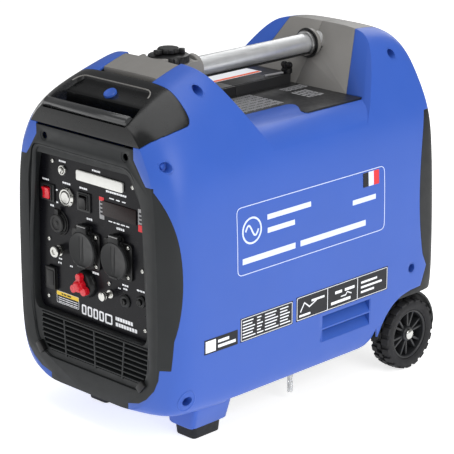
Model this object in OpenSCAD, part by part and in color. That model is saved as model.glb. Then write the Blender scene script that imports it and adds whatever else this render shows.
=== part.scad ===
// Portable inverter generator on two rear wheels, with a pull-out handle.
// X is the width, Y the length with the control panel facing -Y, Z is up, Z = 0 is the ground.

/* [Casing] */
// Thickness of the moulded casing walls
wall = 3; // [2.5:0.5:4]
// Height of the flat deck between the two humps
deck_z = 408; // [400:1:412]
// Height of the underside of the casing
belly_z = 55; // [52:1:60]
// Gap between the moving handle and the casing
handle_gap = 0.6; // [0.4:0.1:1]

/* [Handle] */
// Angle of the pull-out rods above the horizontal
rod_tilt = 18; // [14:1:20]
// Radius of the pull-out rods
rod_r = 7; // [6:0.5:8]
// Length of the pull-out rods
rod_len = 320; // [280:5:330]
// Half the distance between the rods
rod_x = 92; // [86:1:96]

/* [Wheels] */
// Radius of the wheels over the tyre
wheel_r = 52.7; // [50:0.1:54]
// Width of the tyre
wheel_w = 33; // [28:1:35]
// Outer face of the wheel from the middle
wheel_x = 166; // [165:0.5:168]
// Distance of the axle behind the middle
axle_y = 205.3; // [203:0.1:208]
// Radius of the axle
axle_r = 6; // [5:0.5:7]

/* [Panel] */
// Front face of the control panel
panel_y = -250; // [-252:1:-248]
// Thickness of the control panel
panel_t = 3; // [2:0.5:4]
// Radius of the round lids over the mains sockets
lid_r = 25; // [23:0.5:25]

/* [Lift tube] */
// Radius of the lift tube
tube_r = 14; // [12:0.5:15]
// Height of the lift tube's axis
tube_z = 463; // [458:1:465]

/* [Hidden] */
$fn = 64;

// Half cross-sections of the casing, from the bottom edge to the top edge: [x, z]
front_half = [[80, 50], [100, 58], [126, 84], [135, 118], [134, 270], [127, 361], [106, 408], [80, 436]];
flank_half = [[90, 42], [136, 46], [154, 66], [160, 104], [160, 316], [149, 376], [124, 418], [96, 440],
    [78, 447]];
nose_half = [[90, 42], [140, 44], [156, 62], [162, 96], [163, 230], [160, 316], [155, 366], [144, 398],
    [129, 426], [109, 448], [90, 460], [70, 465]];
hump_half = [[90, 42], [148, 44], [158, 60], [163, 90], [163, 230], [160, 316], [156, 372], [144, 400],
    [135, 415], [122, 440], [109, 457], [95, 474], [78, 486], [62, 490]];
tail_half = [[140, 42], [163, 90], [163, 230], [160, 316], [155, 372], [142, 396], [118, 434], [92, 464],
    [62, 478]];
back_half = [[140, 100], [158, 104], [160, 230], [158, 316], [152, 360], [138, 392], [116, 424], [90, 448],
    [62, 458]];
rear_half = [[120, 100], [142, 106], [143, 230], [140, 300], [132, 360], [120, 392], [90, 428], [60, 434]];
stern_half = [[100, 100], [128, 106], [130, 200], [118, 210]];
stations = [
    [-264, front_half], [-243, flank_half], [-208, nose_half], [-140, hump_half], [195, hump_half],
    [226, tail_half], [248, back_half], [264, rear_half], [274, stern_half]
];
front_y = -264;
back_y = 274;
collar_r = tube_r + 6;
// Raised left part of the deck, and the knob that holds the service cover
raised_z = deck_z + 14;
raised_x = -6;
knob_x = -13;
knob_y = 130;

function mirrored(half) = concat(half, [for (i = [len(half) - 1:-1:0]) [-half[i][0], half[i][1]]]);
function panel_outline(d) = [
    [-101 - d, 366 + d], [74 + d, 366 + d], [95 + d, 330], [103 + d, 156], [98 + d, 146 - d],
    [-106 - d, 146 - d], [-112 - d, 156], [-109 - d, 330]
];

// Places a piece on the control panel: local z points out of the panel, local y is up
module on_panel(x, z) {
    translate([x, panel_y, z])
        rotate([90, 0, 0])
            children();
}

// An outline drawn in X and Z, extruded from y0 to y1
module across(points, y0, y1) {
    translate([0, y1, 0])
        rotate([90, 0, 0])
            linear_extrude(y1 - y0)
                polygon(points);
}

// An outline drawn in Y and Z, extruded from -half to half along X
module along(points, half) {
    translate([-half, 0, 0])
        rotate([90, 0, 90])
            linear_extrude(2 * half)
                polygon(points);
}

// Places a piece on both pull-out rods: local z runs back and down along the rod
module at_rods() {
    for (s = [-1, 1])
        translate([s * rod_x, -200, 430])
            rotate([-90 - rod_tilt, 0, 0])
                children();
}

module box(low, high) {
    translate(low)
        cube(high - low);
}

// The solid form of the casing, shrunk by inset
module casing_form(inset) {
    hull() {
        for (s = stations) {
            shift = s[0] == front_y ? inset : s[0] == back_y ? -inset : 0;
            translate([0, s[0] + shift, 0])
                rotate([90, 0, 0])
                    linear_extrude(0.1, center = true)
                        offset(delta = -inset)
                            polygon(mirrored(s[1]));
        }
    }
}

// The trapezoid between the humps, over the deck
module saddle_space() {
    along([[-140, 489.9], [-88, deck_z], [135, deck_z], [190, 489.9], [190, 520], [-140, 520]], 200);
}

module handle_space(gap) {
    along([[-300, 404 - gap], [-264, 408 - gap], [-205, 427 - gap], [-194 + gap, 437 - gap],
        [-191 + gap, 448], [-191 + gap, 520], [-300, 520]], 200);
}

// What the front bezel takes from the casing
module front_bezel_space() {
    across([[-77, 40], [77, 40], [77, 60], [97, 65], [112, 75], [126, 90], [133, 106], [136, 122],
        [136, 134], [170, 134], [170, 361], [127, 361], [116, 361], [109, 370], [94, 392], [94, 420],
        [-94, 420], [-94, 392], [-109, 370], [-116, 361], [-127, 361], [-170, 361], [-170, 134],
        [-136, 134], [-136, 122], [-133, 106], [-126, 90], [-112, 75], [-97, 65], [-77, 60]],
        -300, -263.9 + wall + 6);
    intersection() {
        translate([-200, -557, 247])
            rotate([0, 90, 0])
                cylinder(r = 314, h = 400, $fn = 128);
        box([-200, -300, 134], [200, -200, 361]);
    }
}

// What the rear bezel takes from the casing
module rear_bezel_space() {
    intersection() {
        translate([-200, 640, 262])
            rotate([0, 90, 0])
                cylinder(r = 420, h = 400, $fn = 128);
        box([-200, 200, 60], [200, 300, 378]);
    }
}

// Room for the wheels, their brackets and the raised tail
module wheel_space() {
    translate([-200, axle_y, wheel_r])
        rotate([0, 90, 0])
            cylinder(r = 60, h = 400);
    box([-200, axle_y, 0], [200, 300, 112]);
    along([[112, 0], [112, 56], [124, 64], [134, 81], [180, 82], [180, 0]], 200);
}

module casing_wall() {
    difference() {
        casing_form(0);
        casing_form(wall);
        box([-300, -157, 0], [300, 300, belly_z]);
        box([-146, -236, 0], [146, 205, belly_z + 6]);
        wheel_space();
    }
}

// The top openings: front cover, deck with its wide tabs, rear covers
module cover_spaces() {
    box([-51, -191.2, 440], [51, -75, 520]);
    across([[-95, 380], [95, 380], [95, 409], [61.5, 490], [61.5, 520], [-61.5, 520], [-61.5, 490], [-95, 409]],
        120, 245);
    box([-76, -90, 380], [76, 40, 420]);
    box([-124, 40, 380], [124, 136, 420]);
    // Way for the filler neck
    box([-22, -136, 380], [22, -90, 441]);
}

module louvres(side) {
    for (z = [120, 100]) {
        translate([side * 158, 70, z])
            rotate([-4, 0, 0])
                cube([24, 102, 7], center = true);
    }
}

module screw_wells() {
    for (side = [-1, 1]) {
        for (p = [[94, -158, 464], [130, -246, 387], [96, 219, 453], [150, 206, 153], [145, -231, 75]])
            translate([side * (p[0] + 50), p[1], p[2]])
                rotate([0, 90, 0])
                    cylinder(r = 5.5, h = 100, center = true);
    }
}

module side_shell(side) {
    color("royalblue") {
        difference() {
            intersection() {
                casing_wall();
                box([side > 0 ? 0 : -300, -300, 0], [side > 0 ? 300 : 0, 300, 520]);
            }
            saddle_space();
            handle_space(0);
            front_bezel_space();
            rear_bezel_space();
            cover_spaces();
            louvres(side);
            screw_wells();
        }
        // Ledge round the deck and faces of the humps, which close the casing under the saddle
        difference() {
            intersection() {
                casing_form(wall);
                union() {
                    along([[-140, 489.9], [-88, deck_z], [135, deck_z], [190, 489.9], [194, 489.9],
                        [137, deck_z - wall], [-90, deck_z - wall], [-144, 489.9]], 200);
                    difference() {
                        handle_space(wall);
                        handle_space(0);
                    }
                }
                box([side > 0 ? 0 : -300, -300, 0], [side > 0 ? 300 : 0, 300, 520]);
            }
            cover_spaces();
            at_rods()
                translate([0, 0, -30])
                    cylinder(r = rod_r + 0.6, h = 54);
            at_rods()
                translate([0, 0, 24])
                    cylinder(r = rod_r + 4, h = 400);
        }
    }
}

module left_side_shell() {
    difference() {
        side_shell(-1);
        box([-200, 42, 209], [-150, 78, 291]);
    }
    // Pocket for the recoil grip
    color("royalblue")
        difference() {
            box([-161, 39, 206], [-144, 81, 294]);
            box([-170, 42, 209], [-147, 78, 291]);
            translate([-150, 60, 250])
                rotate([0, 90, 0])
                    cylinder(r = 5, h = 20);
        }
}

module right_side_shell() {
    side_shell(1);
}

module grille_slots() {
    for (i = [0:6]) {
        z = 96 + i * 7;
        x_low = i == 0 ? -80 : -94;
        x_high = i == 0 ? 96 : i == 1 ? 108 : 114;
        for (span = [[x_low, -52], [-47, 8], [13, 66], [71, x_high]])
            box([span[0], -300, z - 1.9], [span[1], -230, z + 1.9]);
    }
}

module front_bezel() {
    color("#2b2d2e") {
        difference() {
            union() {
                intersection() {
                    casing_wall();
                    front_bezel_space();
                }
                across(panel_outline(wall), front_y, panel_y + panel_t);
            }
            across(panel_outline(0), -300, panel_y + panel_t + 1);
            grille_slots();
            handle_space(0);
            screw_wells();
        }
    }
}

module control_panel() {
    color("#16161a") {
        difference() {
            across(panel_outline(-0.2), panel_y, panel_y + panel_t);
            for (p = [[-13, 248], [49, 248]]) {
                on_panel(p[0], p[1])
                    cylinder(r = 22.3, h = 20, center = true);
            }
            for (p = [[-58.5, 346, 6.4], [-50, 311, 11.2], [-67, 272, 11.2], [60, 193, 7.2], [90, 200, 6.2],
                [31, 196, 3.2], [-66, 234, 3.2], [-15, 199, 5.2]]) {
                on_panel(p[0], p[1])
                    cylinder(r = p[2], h = 20, center = true);
            }
            for (p = [[-90, 310, 10], [-17, 311, 10]]) {
                on_panel(p[0], p[1])
                    cube([2 * p[2] + 0.4, 20.4, 20], center = true);
            }
            on_panel(-85, 191)
                cube([16.4, 26.4, 20], center = true);
        }
    }
}

module rear_bezel() {
    color("#2b2d2e") {
        difference() {
            intersection() {
                casing_wall();
                rear_bezel_space();
            }
            for (z = [170:14:310])
                box([-100, 200, z], [10, 300, z + 3.8]);
            translate([78, 240, 236])
                rotate([-90, 0, 0])
                    cylinder(r = 30, h = 60);
            screw_wells();
        }
    }
}

module front_top_cover() {
    color("#757472") {
        difference() {
            intersection() {
                casing_form(0);
                union() {
                    box([-50.7, -182, 466], [50.7, -137, 520]);
                    along([[-190.4, 464], [-182, 464], [-182, 469], [-137, 483], [-137, 478], [-78, 478],
                        [-73, deck_z + 0.2], [-76, deck_z + 0.2], [-81, 475], [-140, 475], [-190.4, 461]],
                        50.7);
                }
            }
            along([[-190.4, 440], [-190.4, 461], [-182, 463], [-140, 475], [-137, 440]], 200);
            cover_hollow();
            translate([0, -113, 440])
                cylinder(r = 21, h = 80);
            translate([0, -113, 478])
                cylinder(r = 29.5, h = 80);
            translate([0, -120, tube_z])
                rotate([-90, 0, 0])
                    cylinder(r = tube_r + 0.3, h = 60);
        }
    }
}

// Hollow under the sloped front part of the cover
module cover_hollow() {
    along([[-180, 440], [-180, 467], [-142, 482], [-139, 482], [-139, 440]], 47);
}

module rear_top_cover(side) {
    color("#757472") {
        difference() {
            intersection() {
                casing_form(0);
                across([[0, 380], [side * 94.7, 380], [side * 94.7, 409], [side * 61.2, 490],
                    [side * 61.2, 520], [0, 520]], 120, 244.7);
                along([[135, deck_z], [190, 489.9], [250, 520], [250, 445], [244.7, 445], [192, 482],
                    [138.6, deck_z]], 200);
            }
            translate([0, 140, tube_z])
                rotate([-90, 0, 0])
                    cylinder(r = tube_r + 0.3, h = 60);
            // Seat for the tube's collar
            translate([0, 140, tube_z])
                rotate([-90, 0, 0])
                    cylinder(r = collar_r + 0.3, h = 27.3);
        }
    }
}

module rear_top_cover_left() {
    rear_top_cover(-1);
}

module rear_top_cover_right() {
    rear_top_cover(1);
}

module top_deck() {
    color("#3a3a3b")
        difference() {
            union() {
                box([-75.7, -89.7, deck_z - wall], [75.7, 39.7, deck_z]);
                box([-75.7, -64, deck_z - 1], [raised_x, 19.6, raised_z]);
            }
            at_rods()
                cylinder(r = rod_r + 4, h = 400);
        }
}

module service_cover() {
    color("#353536")
        difference() {
            union() {
                box([-123.7, 40, deck_z - wall], [123.7, 134.7, deck_z]);
                box([-104, 40, deck_z - 1], [raised_x, 134.7, raised_z]);
                box([-104, 20, deck_z + 0.3], [raised_x, 41, raised_z]);
            }
            translate([knob_x, knob_y, 300])
                cylinder(r = 4, h = 200);
        }
}

module cover_knob() {
    color("#1c1c1c") {
        translate([knob_x, knob_y, raised_z - 12])
            cylinder(r = 3.7, h = 13);
        translate([knob_x, knob_y, raised_z + 0.5])
            cylinder(r = 8, h = 7);
        translate([knob_x, knob_y, raised_z + 11])
            cube([18, 5, 12], center = true);
    }
}

module lift_tube() {
    color("#b8babb")
        translate([0, -78, tube_z])
            rotate([-90, 0, 0])
                difference() {
                    cylinder(r = tube_r, h = 262);
                    translate([0, 0, -1])
                        cylinder(r = tube_r - 2, h = 264);
                }
}

module tube_collars() {
    color("#5c5c5b")
        for (y = [-73, 158])
            translate([0, y, tube_z])
                rotate([-90, 0, 0])
                    difference() {
                        cylinder(r = collar_r, h = 9);
                        translate([0, 0, -1])
                            cylinder(r = tube_r, h = 11);
                    }
}

module base_tray() {
    color("#2b2d2e") {
        // Raised floor over the wheels
        box([-117.5, 120, 112], [117.5, 262, 115]);
        box([-117.5, 117, belly_z], [117.5, 120, 115]);
        difference() {
            box([-145.5, -235.5, belly_z - 5], [145.5, 150, belly_z + 5]);
            box([-141, -231, belly_z], [141, 146, belly_z + 6]);
            along([[112, 0], [112, 56], [124, 64], [134, 81], [180, 82], [180, 0]], 200);
            translate([120, 0, 0])
                cylinder(r = 4, h = 80);
        }
    }
}

module front_feet() {
    color("#222222")
        for (x = [-66, 108])
            hull() {
                translate([x - 18, -192, 0])
                    cube([36, 48, 1]);
                translate([x - 21, -196, belly_z - 6])
                    cube([42, 56, 1]);
            }
}

module wheel_brackets() {
    color("#1e1e1f")
        for (side = [-1, 1])
            difference() {
                translate([side * 122 - 4, 0, 0])
                    rotate([90, 0, 90])
                        linear_extrude(8)
                            polygon([[90, belly_z], [111, belly_z], [134, 66], [196, 38], [215, 38], [222, 60],
                                [238, 110], [238, 150], [120, 150]]);
                translate([0, axle_y, wheel_r])
                    rotate([0, 90, 0])
                        cylinder(r = axle_r, h = 400, center = true);
            }
}

module axle() {
    color("silver")
        translate([0, axle_y, wheel_r])
            rotate([0, 90, 0])
                cylinder(r = axle_r, h = 2 * (wheel_x - 4), center = true);
}

// Places a part of a wheel: local z points outward along the axle, 0 at the middle of the tyre
module at_wheel(side) {
    translate([side * (wheel_x - wheel_w / 2), axle_y, wheel_r])
        rotate([0, side * 90, 0])
            children();
}

module wheel(side) {
    rim_r = 37;
    color("#202021")
        at_wheel(side)
            difference() {
                union() {
                    cylinder(r = rim_r, h = wheel_w - 8, center = true);
                    translate([0, 0, -wheel_w / 2 + 1.5])
                        cylinder(r = 12, h = wheel_w - 6.5);
                }
                cylinder(r = axle_r + 0.05, h = 60, center = true);
                for (s = [-1, 1])
                    translate([0, 0, s * 14])
                        difference() {
                            cylinder(r = 32, h = 16, center = true);
                            cylinder(r = 12, h = 17, center = true);
                        }
                for (a = [0:60:300])
                    rotate(a)
                        translate([22, 0, 0])
                            cylinder(r = 6, h = 60, center = true);
            }
}

module tyre(side) {
    color("#1a1a1a")
        at_wheel(side)
            rotate_extrude($fn = 128)
                polygon([[37, -15], [50, -16.5], [52.7, -13], [52.7, -3], [50.5, -2], [50.5, 2],
                    [52.7, 3], [52.7, 13], [50, 16.5], [37, 15]]);
}

module left_wheel() {
    wheel(-1);
}

module left_tyre() {
    tyre(-1);
}

module right_wheel() {
    wheel(1);
}

module right_tyre() {
    tyre(1);
}

module axle_caps() {
    color("gainsboro")
        for (side = [-1, 1])
            translate([side * (wheel_x - 2.2), axle_y, wheel_r])
                rotate([0, 90, 0])
                    cylinder(r = 7, h = 3.6, center = true);
}

// Places the release button: local z points up and forward out of the ledge
module at_release() {
    translate([0, -216, 452])
        rotate([28, 0, 0])
            children();
}

module handle_grip() {
    color("#1d1e1f")
        difference() {
            intersection() {
                casing_form(0);
                handle_space(-handle_gap);
            }
            // Hand scoop, open to the top
            along([[-249, 470], [-249, 420], [-245, 416], [-234, 416], [-228, 422], [-225, 447],
                [-207, 457], [-204, 480]], 70);
            at_release()
                translate([0, 0, -12])
                    cylinder(r = 9.4, h = 40);
            at_rods()
                translate([0, 0, -24])
                    cylinder(r = rod_r, h = 60);
        }
}

module handle_rods() {
    color("silver")
        at_rods()
            translate([0, 0, -24])
                cylinder(r = rod_r, h = rod_len);
}

module rod_guides() {
    color("#6a6d70")
        at_rods()
            translate([0, 0, 24])
                difference() {
                    cylinder(r = rod_r + 3, h = 285);
                    translate([0, 0, -1])
                        cylinder(r = rod_r + 0.05, h = 284);
                }
}

module release_button() {
    color("royalblue")
        at_release()
            translate([0, 0, -4])
                cylinder(r = 9, h = 8);
}

module fuel_cap() {
    color("#1a1a1a")
        translate([0, -113, 478.6]) {
            difference() {
                cylinder(r = 28, h = 12);
                translate([0, 0, -1])
                    cylinder(r = 24, h = 9);
                cylinder(r = 4.4, h = 30);
            }
        }
}

module vent_lever() {
    color("#141414")
        translate([0, -113, 491]) {
            cylinder(r = 15, h = 7);
            translate([-5, -24, 0])
                cube([10, 24, 6]);
            translate([0, 0, -5])
                cylinder(r = 4, h = 6);
        }
}

module fuel_tank() {
    color("#3f4145") {
        difference() {
            union() {
                box([-72, -130, 318], [72, 30, 398]);
                translate([0, -113, 398])
                    cylinder(r = 20, h = 84);
            }
            box([-68, -126, 322], [68, 26, 394]);
            translate([0, -113, 390])
                cylinder(r = 16, h = 100);
        }
    }
}

module rocker(x, z, shade) {
    color(shade)
        on_panel(x, z)
            translate([0, 0, 1.6])
                rotate([8, 0, 0])
                    intersection() {
                        cube([13, 17, 9], center = true);
                        rotate([0, 90, 0])
                            cylinder(r = 8.6, h = 13, center = true);
                    }
}

module main_rocker() {
    rocker(-90, 310, "crimson");
}

module eco_rocker() {
    rocker(-17, 311, "#2a2a2c");
}

module switch_housings() {
    color("#2e2e30") {
        for (p = [[-90, 310, 14, 12], [-17, 311, 13, 13]])
            on_panel(p[0], p[1])
                difference() {
                    union() {
                        translate([0, 0, 1])
                            cube([2 * p[2], 2 * p[3], 2], center = true);
                        translate([0, 0, -8])
                            cube([20, 20, 16], center = true);
                    }
                    translate([0, 0, 1])
                        cube([14, 18, 22], center = true);
                }
        on_panel(-50, 311)
            difference() {
                union() {
                    cylinder(r = 13, h = 5);
                    translate([0, 0, -16])
                        cylinder(r = 11, h = 16);
                }
                translate([0, 0, -12])
                    cylinder(r = 8.4, h = 20);
            }
        on_panel(-58.5, 346)
            difference() {
                union() {
                    cylinder(r = 7, h = 2);
                    translate([0, 0, -12])
                        cylinder(r = 6.2, h = 12);
                }
                translate([0, 0, -9])
                    cylinder(r = 4.3, h = 20);
            }
        for (p = [[60, 193, 9, 7], [90, 200, 8, 6]])
            on_panel(p[0], p[1])
                difference() {
                    union() {
                        cylinder(r = p[2], h = 3);
                        translate([0, 0, -12])
                            cylinder(r = p[3], h = 12);
                    }
                    translate([0, 0, -9])
                        cylinder(r = 4.3, h = 20);
                }
    }
}

module start_button() {
    color("gainsboro")
        on_panel(-50, 311)
            translate([0, 0, -3])
                cylinder(r = 8, h = 9);
}

module light_button() {
    color("gainsboro")
        on_panel(-58.5, 346)
            translate([0, 0, -3])
                cylinder(r = 4, h = 8);
}

module led_lens() {
    color("whitesmoke")
        on_panel(15, 346)
            translate([0, 0, 1.5])
                cube([90, 14, 3], center = true);
}

module display_window() {
    color("#2c1f1f")
        on_panel(51, 311)
            translate([0, 0, 0.6])
                cube([64, 20, 1.2], center = true);
}

module socket_frames() {
    color("#232426")
        for (x = [-13, 49])
            on_panel(x, 248)
                difference() {
                    union() {
                        translate([0, 0, 1.5])
                            cube([54, 50, 3], center = true);
                        cylinder(r = 24, h = 7);
                        translate([-12, 20, 0])
                            cube([24, 13, 7]);
                        translate([0, 0, -40])
                            cylinder(r = 22, h = 40);
                    }
                    translate([0, 0, -18])
                        cylinder(r = 19.5, h = 40);
                    for (s = [-1, 1])
                        translate([s * 9.5, 0, -34])
                            cylinder(r = 2.5, h = 30);
                    translate([-13, 27, 3.4])
                        cube([26, 10, 10]);
                }
}

module socket_lid(x) {
    color("#2c2d2f")
        on_panel(x, 248) {
            translate([0, 0, 7.4])
                cylinder(r = lid_r, h = 4.6);
            translate([-9, 18, 7.4])
                cube([18, 14, 3.6]);
            translate([-9, 31, 7.4])
                rotate([0, 90, 0])
                    cylinder(r = 3, h = 18);
        }
}

module left_socket_lid() {
    socket_lid(-13);
}

module right_socket_lid() {
    socket_lid(49);
}

module dc_socket() {
    color("#2a2a2c")
        on_panel(-67, 272)
            difference() {
                union() {
                    cylinder(r = 14, h = 3);
                    translate([0, 0, -30])
                        cylinder(r = 11, h = 30);
                }
                translate([0, 0, -26])
                    cylinder(r = 9, h = 40);
            }
}

module dc_socket_cap() {
    color("#1c1c1d")
        on_panel(-67, 272) {
            translate([0, 0, 3.4])
                cylinder(r = 13, h = 4);
            translate([-3.5, 10, 3.4])
                cube([7, 9, 4]);
            translate([-3.5, 19, 5.4])
                rotate([0, 90, 0])
                    cylinder(r = 2, h = 7);
        }
}

module usb_port() {
    color("#2a2a2c")
        on_panel(-85, 191)
            difference() {
                union() {
                    translate([0, 0, 1])
                        cube([20, 31, 2], center = true);
                    translate([0, 0, -8])
                        cube([16, 26, 16], center = true);
                }
                for (y = [-6, 6])
                    translate([0, y, -2])
                        cube([12.6, 5, 18], center = true);
            }
}

module usb_cover() {
    color("#1b1b1c")
        on_panel(-85, 191) {
            translate([-9.5, -15, 2.4])
                cube([19, 30, 3.4]);
            translate([-9.5, 15, 4.1])
                rotate([0, 90, 0])
                    cylinder(r = 1.7, h = 19);
        }
}

module knob_base() {
    color("#232426")
        on_panel(-15, 199)
            difference() {
                union() {
                    cylinder(r = 19, h = 9);
                    translate([0, 0, -14])
                        cylinder(r = 5, h = 15);
                }
                translate([0, 0, -10])
                    cylinder(r = 3.06, h = 30);
            }
}

module engine_knob() {
    color("crimson")
        on_panel(-15, 199) {
            translate([0, 0, -6])
                cylinder(r = 3, h = 17);
            translate([0, 0, 9.6])
                cylinder(r = 12, h = 12);
            for (a = [90, 210, 330])
                rotate(a)
                    translate([11.5, 0, 9.6])
                        cylinder(r = 6, h = 14.4);
        }
}

module ground_terminal() {
    color("silver")
        on_panel(31, 196) {
            translate([0, 0, -10])
                cylinder(r = 3, h = 27);
            cylinder(r = 6, h = 2);
            translate([0, 0, 4])
                cylinder(r = 5.5, h = 2);
        }
}

module ground_nut() {
    color("gainsboro")
        on_panel(31, 196)
            translate([0, 0, 8])
                difference() {
                    cylinder(r = 5.5, h = 5);
                    translate([0, 0, -1])
                        cylinder(r = 3.05, h = 7);
                }
}

module spool_terminal() {
    color("silver")
        on_panel(-66, 234) {
            translate([0, 0, -10])
                cylinder(r = 3, h = 24);
            cylinder(r = 6.5, h = 3);
            translate([0, 0, 10])
                cylinder(r = 6, h = 4);
        }
}

module reset_button(x, z) {
    color("#0f0f10")
        on_panel(x, z)
            translate([0, 0, -3])
                cylinder(r = 4, h = 9);
}

module ac_reset_button() {
    reset_button(60, 193);
}

module dc_reset_button() {
    reset_button(90, 200);
}

module screws() {
    color("#8c8c8c") {
        for (p = [[-79, 355], [77, 350], [-90, 245], [93, 242], [-94, 163], [97, 162]])
            on_panel(p[0], p[1])
                cylinder(r = 3, h = 1.6);
        for (x = [-13, 49])
            for (s = [-1, 1])
                on_panel(x + s * 19.5, 248 - s * 19.5)
                    translate([0, 0, 3])
                        cylinder(r = 2.2, h = 1.4);
    }
}

module engine_block() {
    color("#9a9c9e") {
        difference() {
            union() {
                box([-70, -20, 64], [70, 110, 190]);
                box([-66, 0, 190], [66, 96, 300]);
            }
            translate([0, -30, 130])
                rotate([-90, 0, 0])
                    cylinder(r = 15.05, h = 150);
            for (z = [204:14:288])
                for (s = [-1, 1])
                    box([s > 0 ? 50 : -70, -10, z], [s > 0 ? 70 : -50, 100, z + 6]);
        }
    }
}

module crank_rotor() {
    color("#6f7275")
        translate([0, 0, 130])
            rotate([-90, 0, 0]) {
                translate([0, 0, -120])
                    cylinder(r = 15, h = 232);
                translate([0, 0, -96])
                    cylinder(r = 60, h = 64);
            }
}

module stator() {
    color("#8a5a2c")
        translate([0, -96, 130])
            rotate([-90, 0, 0])
                difference() {
                    cylinder(r = 74, h = 60);
                    translate([0, 0, -1])
                        cylinder(r = 61, h = 62);
                }
}

module muffler() {
    color("#5f6062")
        union() {
            box([20, 124, 190], [132, 200, 300]);
            translate([78, 200, 236])
                rotate([-90, 0, 0])
                    cylinder(r = 20, h = 52);
        }
}

module inverter_module() {
    color("#b0b3b6")
        difference() {
            box([-120, -205, 70], [40, -130, 190]);
            for (x = [-112:12:32])
                box([x, -206, 76], [x + 6, -190, 184]);
        }
}

module battery() {
    color("#26282b")
        union() {
            box([52, -212, 66], [132, -128, 158]);
            box([60, -200, 158], [74, -186, 166]);
            box([110, -200, 158], [124, -186, 166]);
        }
}

module air_filter_box() {
    color("#303235")
        union() {
            box([-114, 124, 130], [-20, 196, 290]);
            translate([-46, 96.5, 250])
                rotate([-90, 0, 0])
                    cylinder(r = 16, h = 28);
        }
}

module recoil_grip() {
    color("#1b1b1c")
        translate([0, 60, 250]) {
            translate([-153, 0, 0])
                rotate([0, 90, 0])
                    cylinder(r = 4, h = 8);
            translate([-157.5, 0, 0])
                cube([10, 22, 70], center = true);
        }
}

module drain_tube() {
    color("#e8e8e8")
        translate([120, 0, 12])
            difference() {
                cylinder(r = 4, h = 52);
                translate([0, 0, -1])
                    cylinder(r = 2.6, h = 54);
            }
}

left_side_shell();
right_side_shell();
front_bezel();
control_panel();
rear_bezel();
front_top_cover();
rear_top_cover_left();
rear_top_cover_right();
top_deck();
service_cover();
cover_knob();
lift_tube();
tube_collars();
base_tray();
front_feet();
wheel_brackets();
axle();
left_wheel();
left_tyre();
right_wheel();
right_tyre();
axle_caps();
handle_grip();
handle_rods();
rod_guides();
release_button();
fuel_cap();
vent_lever();
fuel_tank();
main_rocker();
eco_rocker();
switch_housings();
start_button();
light_button();
led_lens();
display_window();
socket_frames();
left_socket_lid();
right_socket_lid();
dc_socket();
dc_socket_cap();
usb_port();
usb_cover();
knob_base();
engine_knob();
ground_terminal();
ground_nut();
spool_terminal();
ac_reset_button();
dc_reset_button();
screws();
engine_block();
crank_rotor();
stator();
muffler();
inverter_module();
battery();
air_filter_box();
recoil_grip();
drain_tube();
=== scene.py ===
import bpy, math
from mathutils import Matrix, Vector


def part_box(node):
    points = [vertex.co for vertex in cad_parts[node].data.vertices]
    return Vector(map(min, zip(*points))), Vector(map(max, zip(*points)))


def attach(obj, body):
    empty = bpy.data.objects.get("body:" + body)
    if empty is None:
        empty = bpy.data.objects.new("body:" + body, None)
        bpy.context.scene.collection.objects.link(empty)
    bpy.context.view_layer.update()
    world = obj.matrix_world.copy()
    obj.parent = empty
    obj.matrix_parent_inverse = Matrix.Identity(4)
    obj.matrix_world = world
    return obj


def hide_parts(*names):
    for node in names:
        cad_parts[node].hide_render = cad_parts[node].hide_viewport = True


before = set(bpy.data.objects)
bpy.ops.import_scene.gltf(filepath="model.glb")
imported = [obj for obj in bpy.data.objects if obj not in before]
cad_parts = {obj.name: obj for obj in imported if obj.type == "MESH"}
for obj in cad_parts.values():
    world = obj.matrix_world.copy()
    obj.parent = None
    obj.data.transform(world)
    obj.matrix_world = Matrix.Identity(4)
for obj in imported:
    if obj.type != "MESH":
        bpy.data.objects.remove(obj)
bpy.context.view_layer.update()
print("frame loaded")

mm = 0.001  # every size below is in millimetres


# small tools used all through

def clearSelection():
    if bpy.context.object and bpy.context.object.mode != "OBJECT":
        bpy.ops.object.mode_set(mode="OBJECT")
    bpy.ops.object.select_all(action="DESELECT")


def pick(piece):
    clearSelection()
    piece.select_set(True)
    bpy.context.view_layer.objects.active = piece
    return piece


def named(name):
    piece = bpy.context.active_object
    piece.name = name
    piece.data.name = name
    return piece


def settle(piece):
    # place, turn and scale go into the mesh
    pick(piece)
    bpy.ops.object.transform_apply(location=True, rotation=True, scale=True)
    return piece


def tidyNormals(piece, merge=0.005):
    pick(piece)
    bpy.ops.object.mode_set(mode="EDIT")
    bpy.ops.mesh.select_all(action="SELECT")
    bpy.ops.mesh.remove_doubles(threshold=merge * mm)
    bpy.ops.mesh.normals_make_consistent(inside=False)
    bpy.ops.object.mode_set(mode="OBJECT")
    return piece


def turnTo(axis):
    return {"X": (0, math.pi / 2, 0), "Y": (math.pi / 2, 0, 0), "Z": (0, 0, 0)}[axis]


def spot(axis, a, b, depth):
    # a point drawn at (a, b) on the plane across an axis
    return Vector({"X": (depth, a, b), "Y": (a, depth, b), "Z": (a, b, depth)}[axis]) * mm


def block(name, low, high):
    clearSelection()
    middle = [(a + b) / 2 * mm for a, b in zip(low, high)]
    bpy.ops.mesh.primitive_cube_add(size=1, location=middle)
    piece = named(name)
    piece.scale = [(b - a) * mm for a, b in zip(low, high)]
    return settle(piece)


def drum(name, centre, radius, length, axis="Y", sides=48):
    # a cylinder about its middle
    clearSelection()
    bpy.ops.mesh.primitive_cylinder_add(vertices=sides, radius=radius * mm, depth=length * mm,
                                        location=[c * mm for c in centre], rotation=turnTo(axis))
    return settle(named(name))


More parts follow.
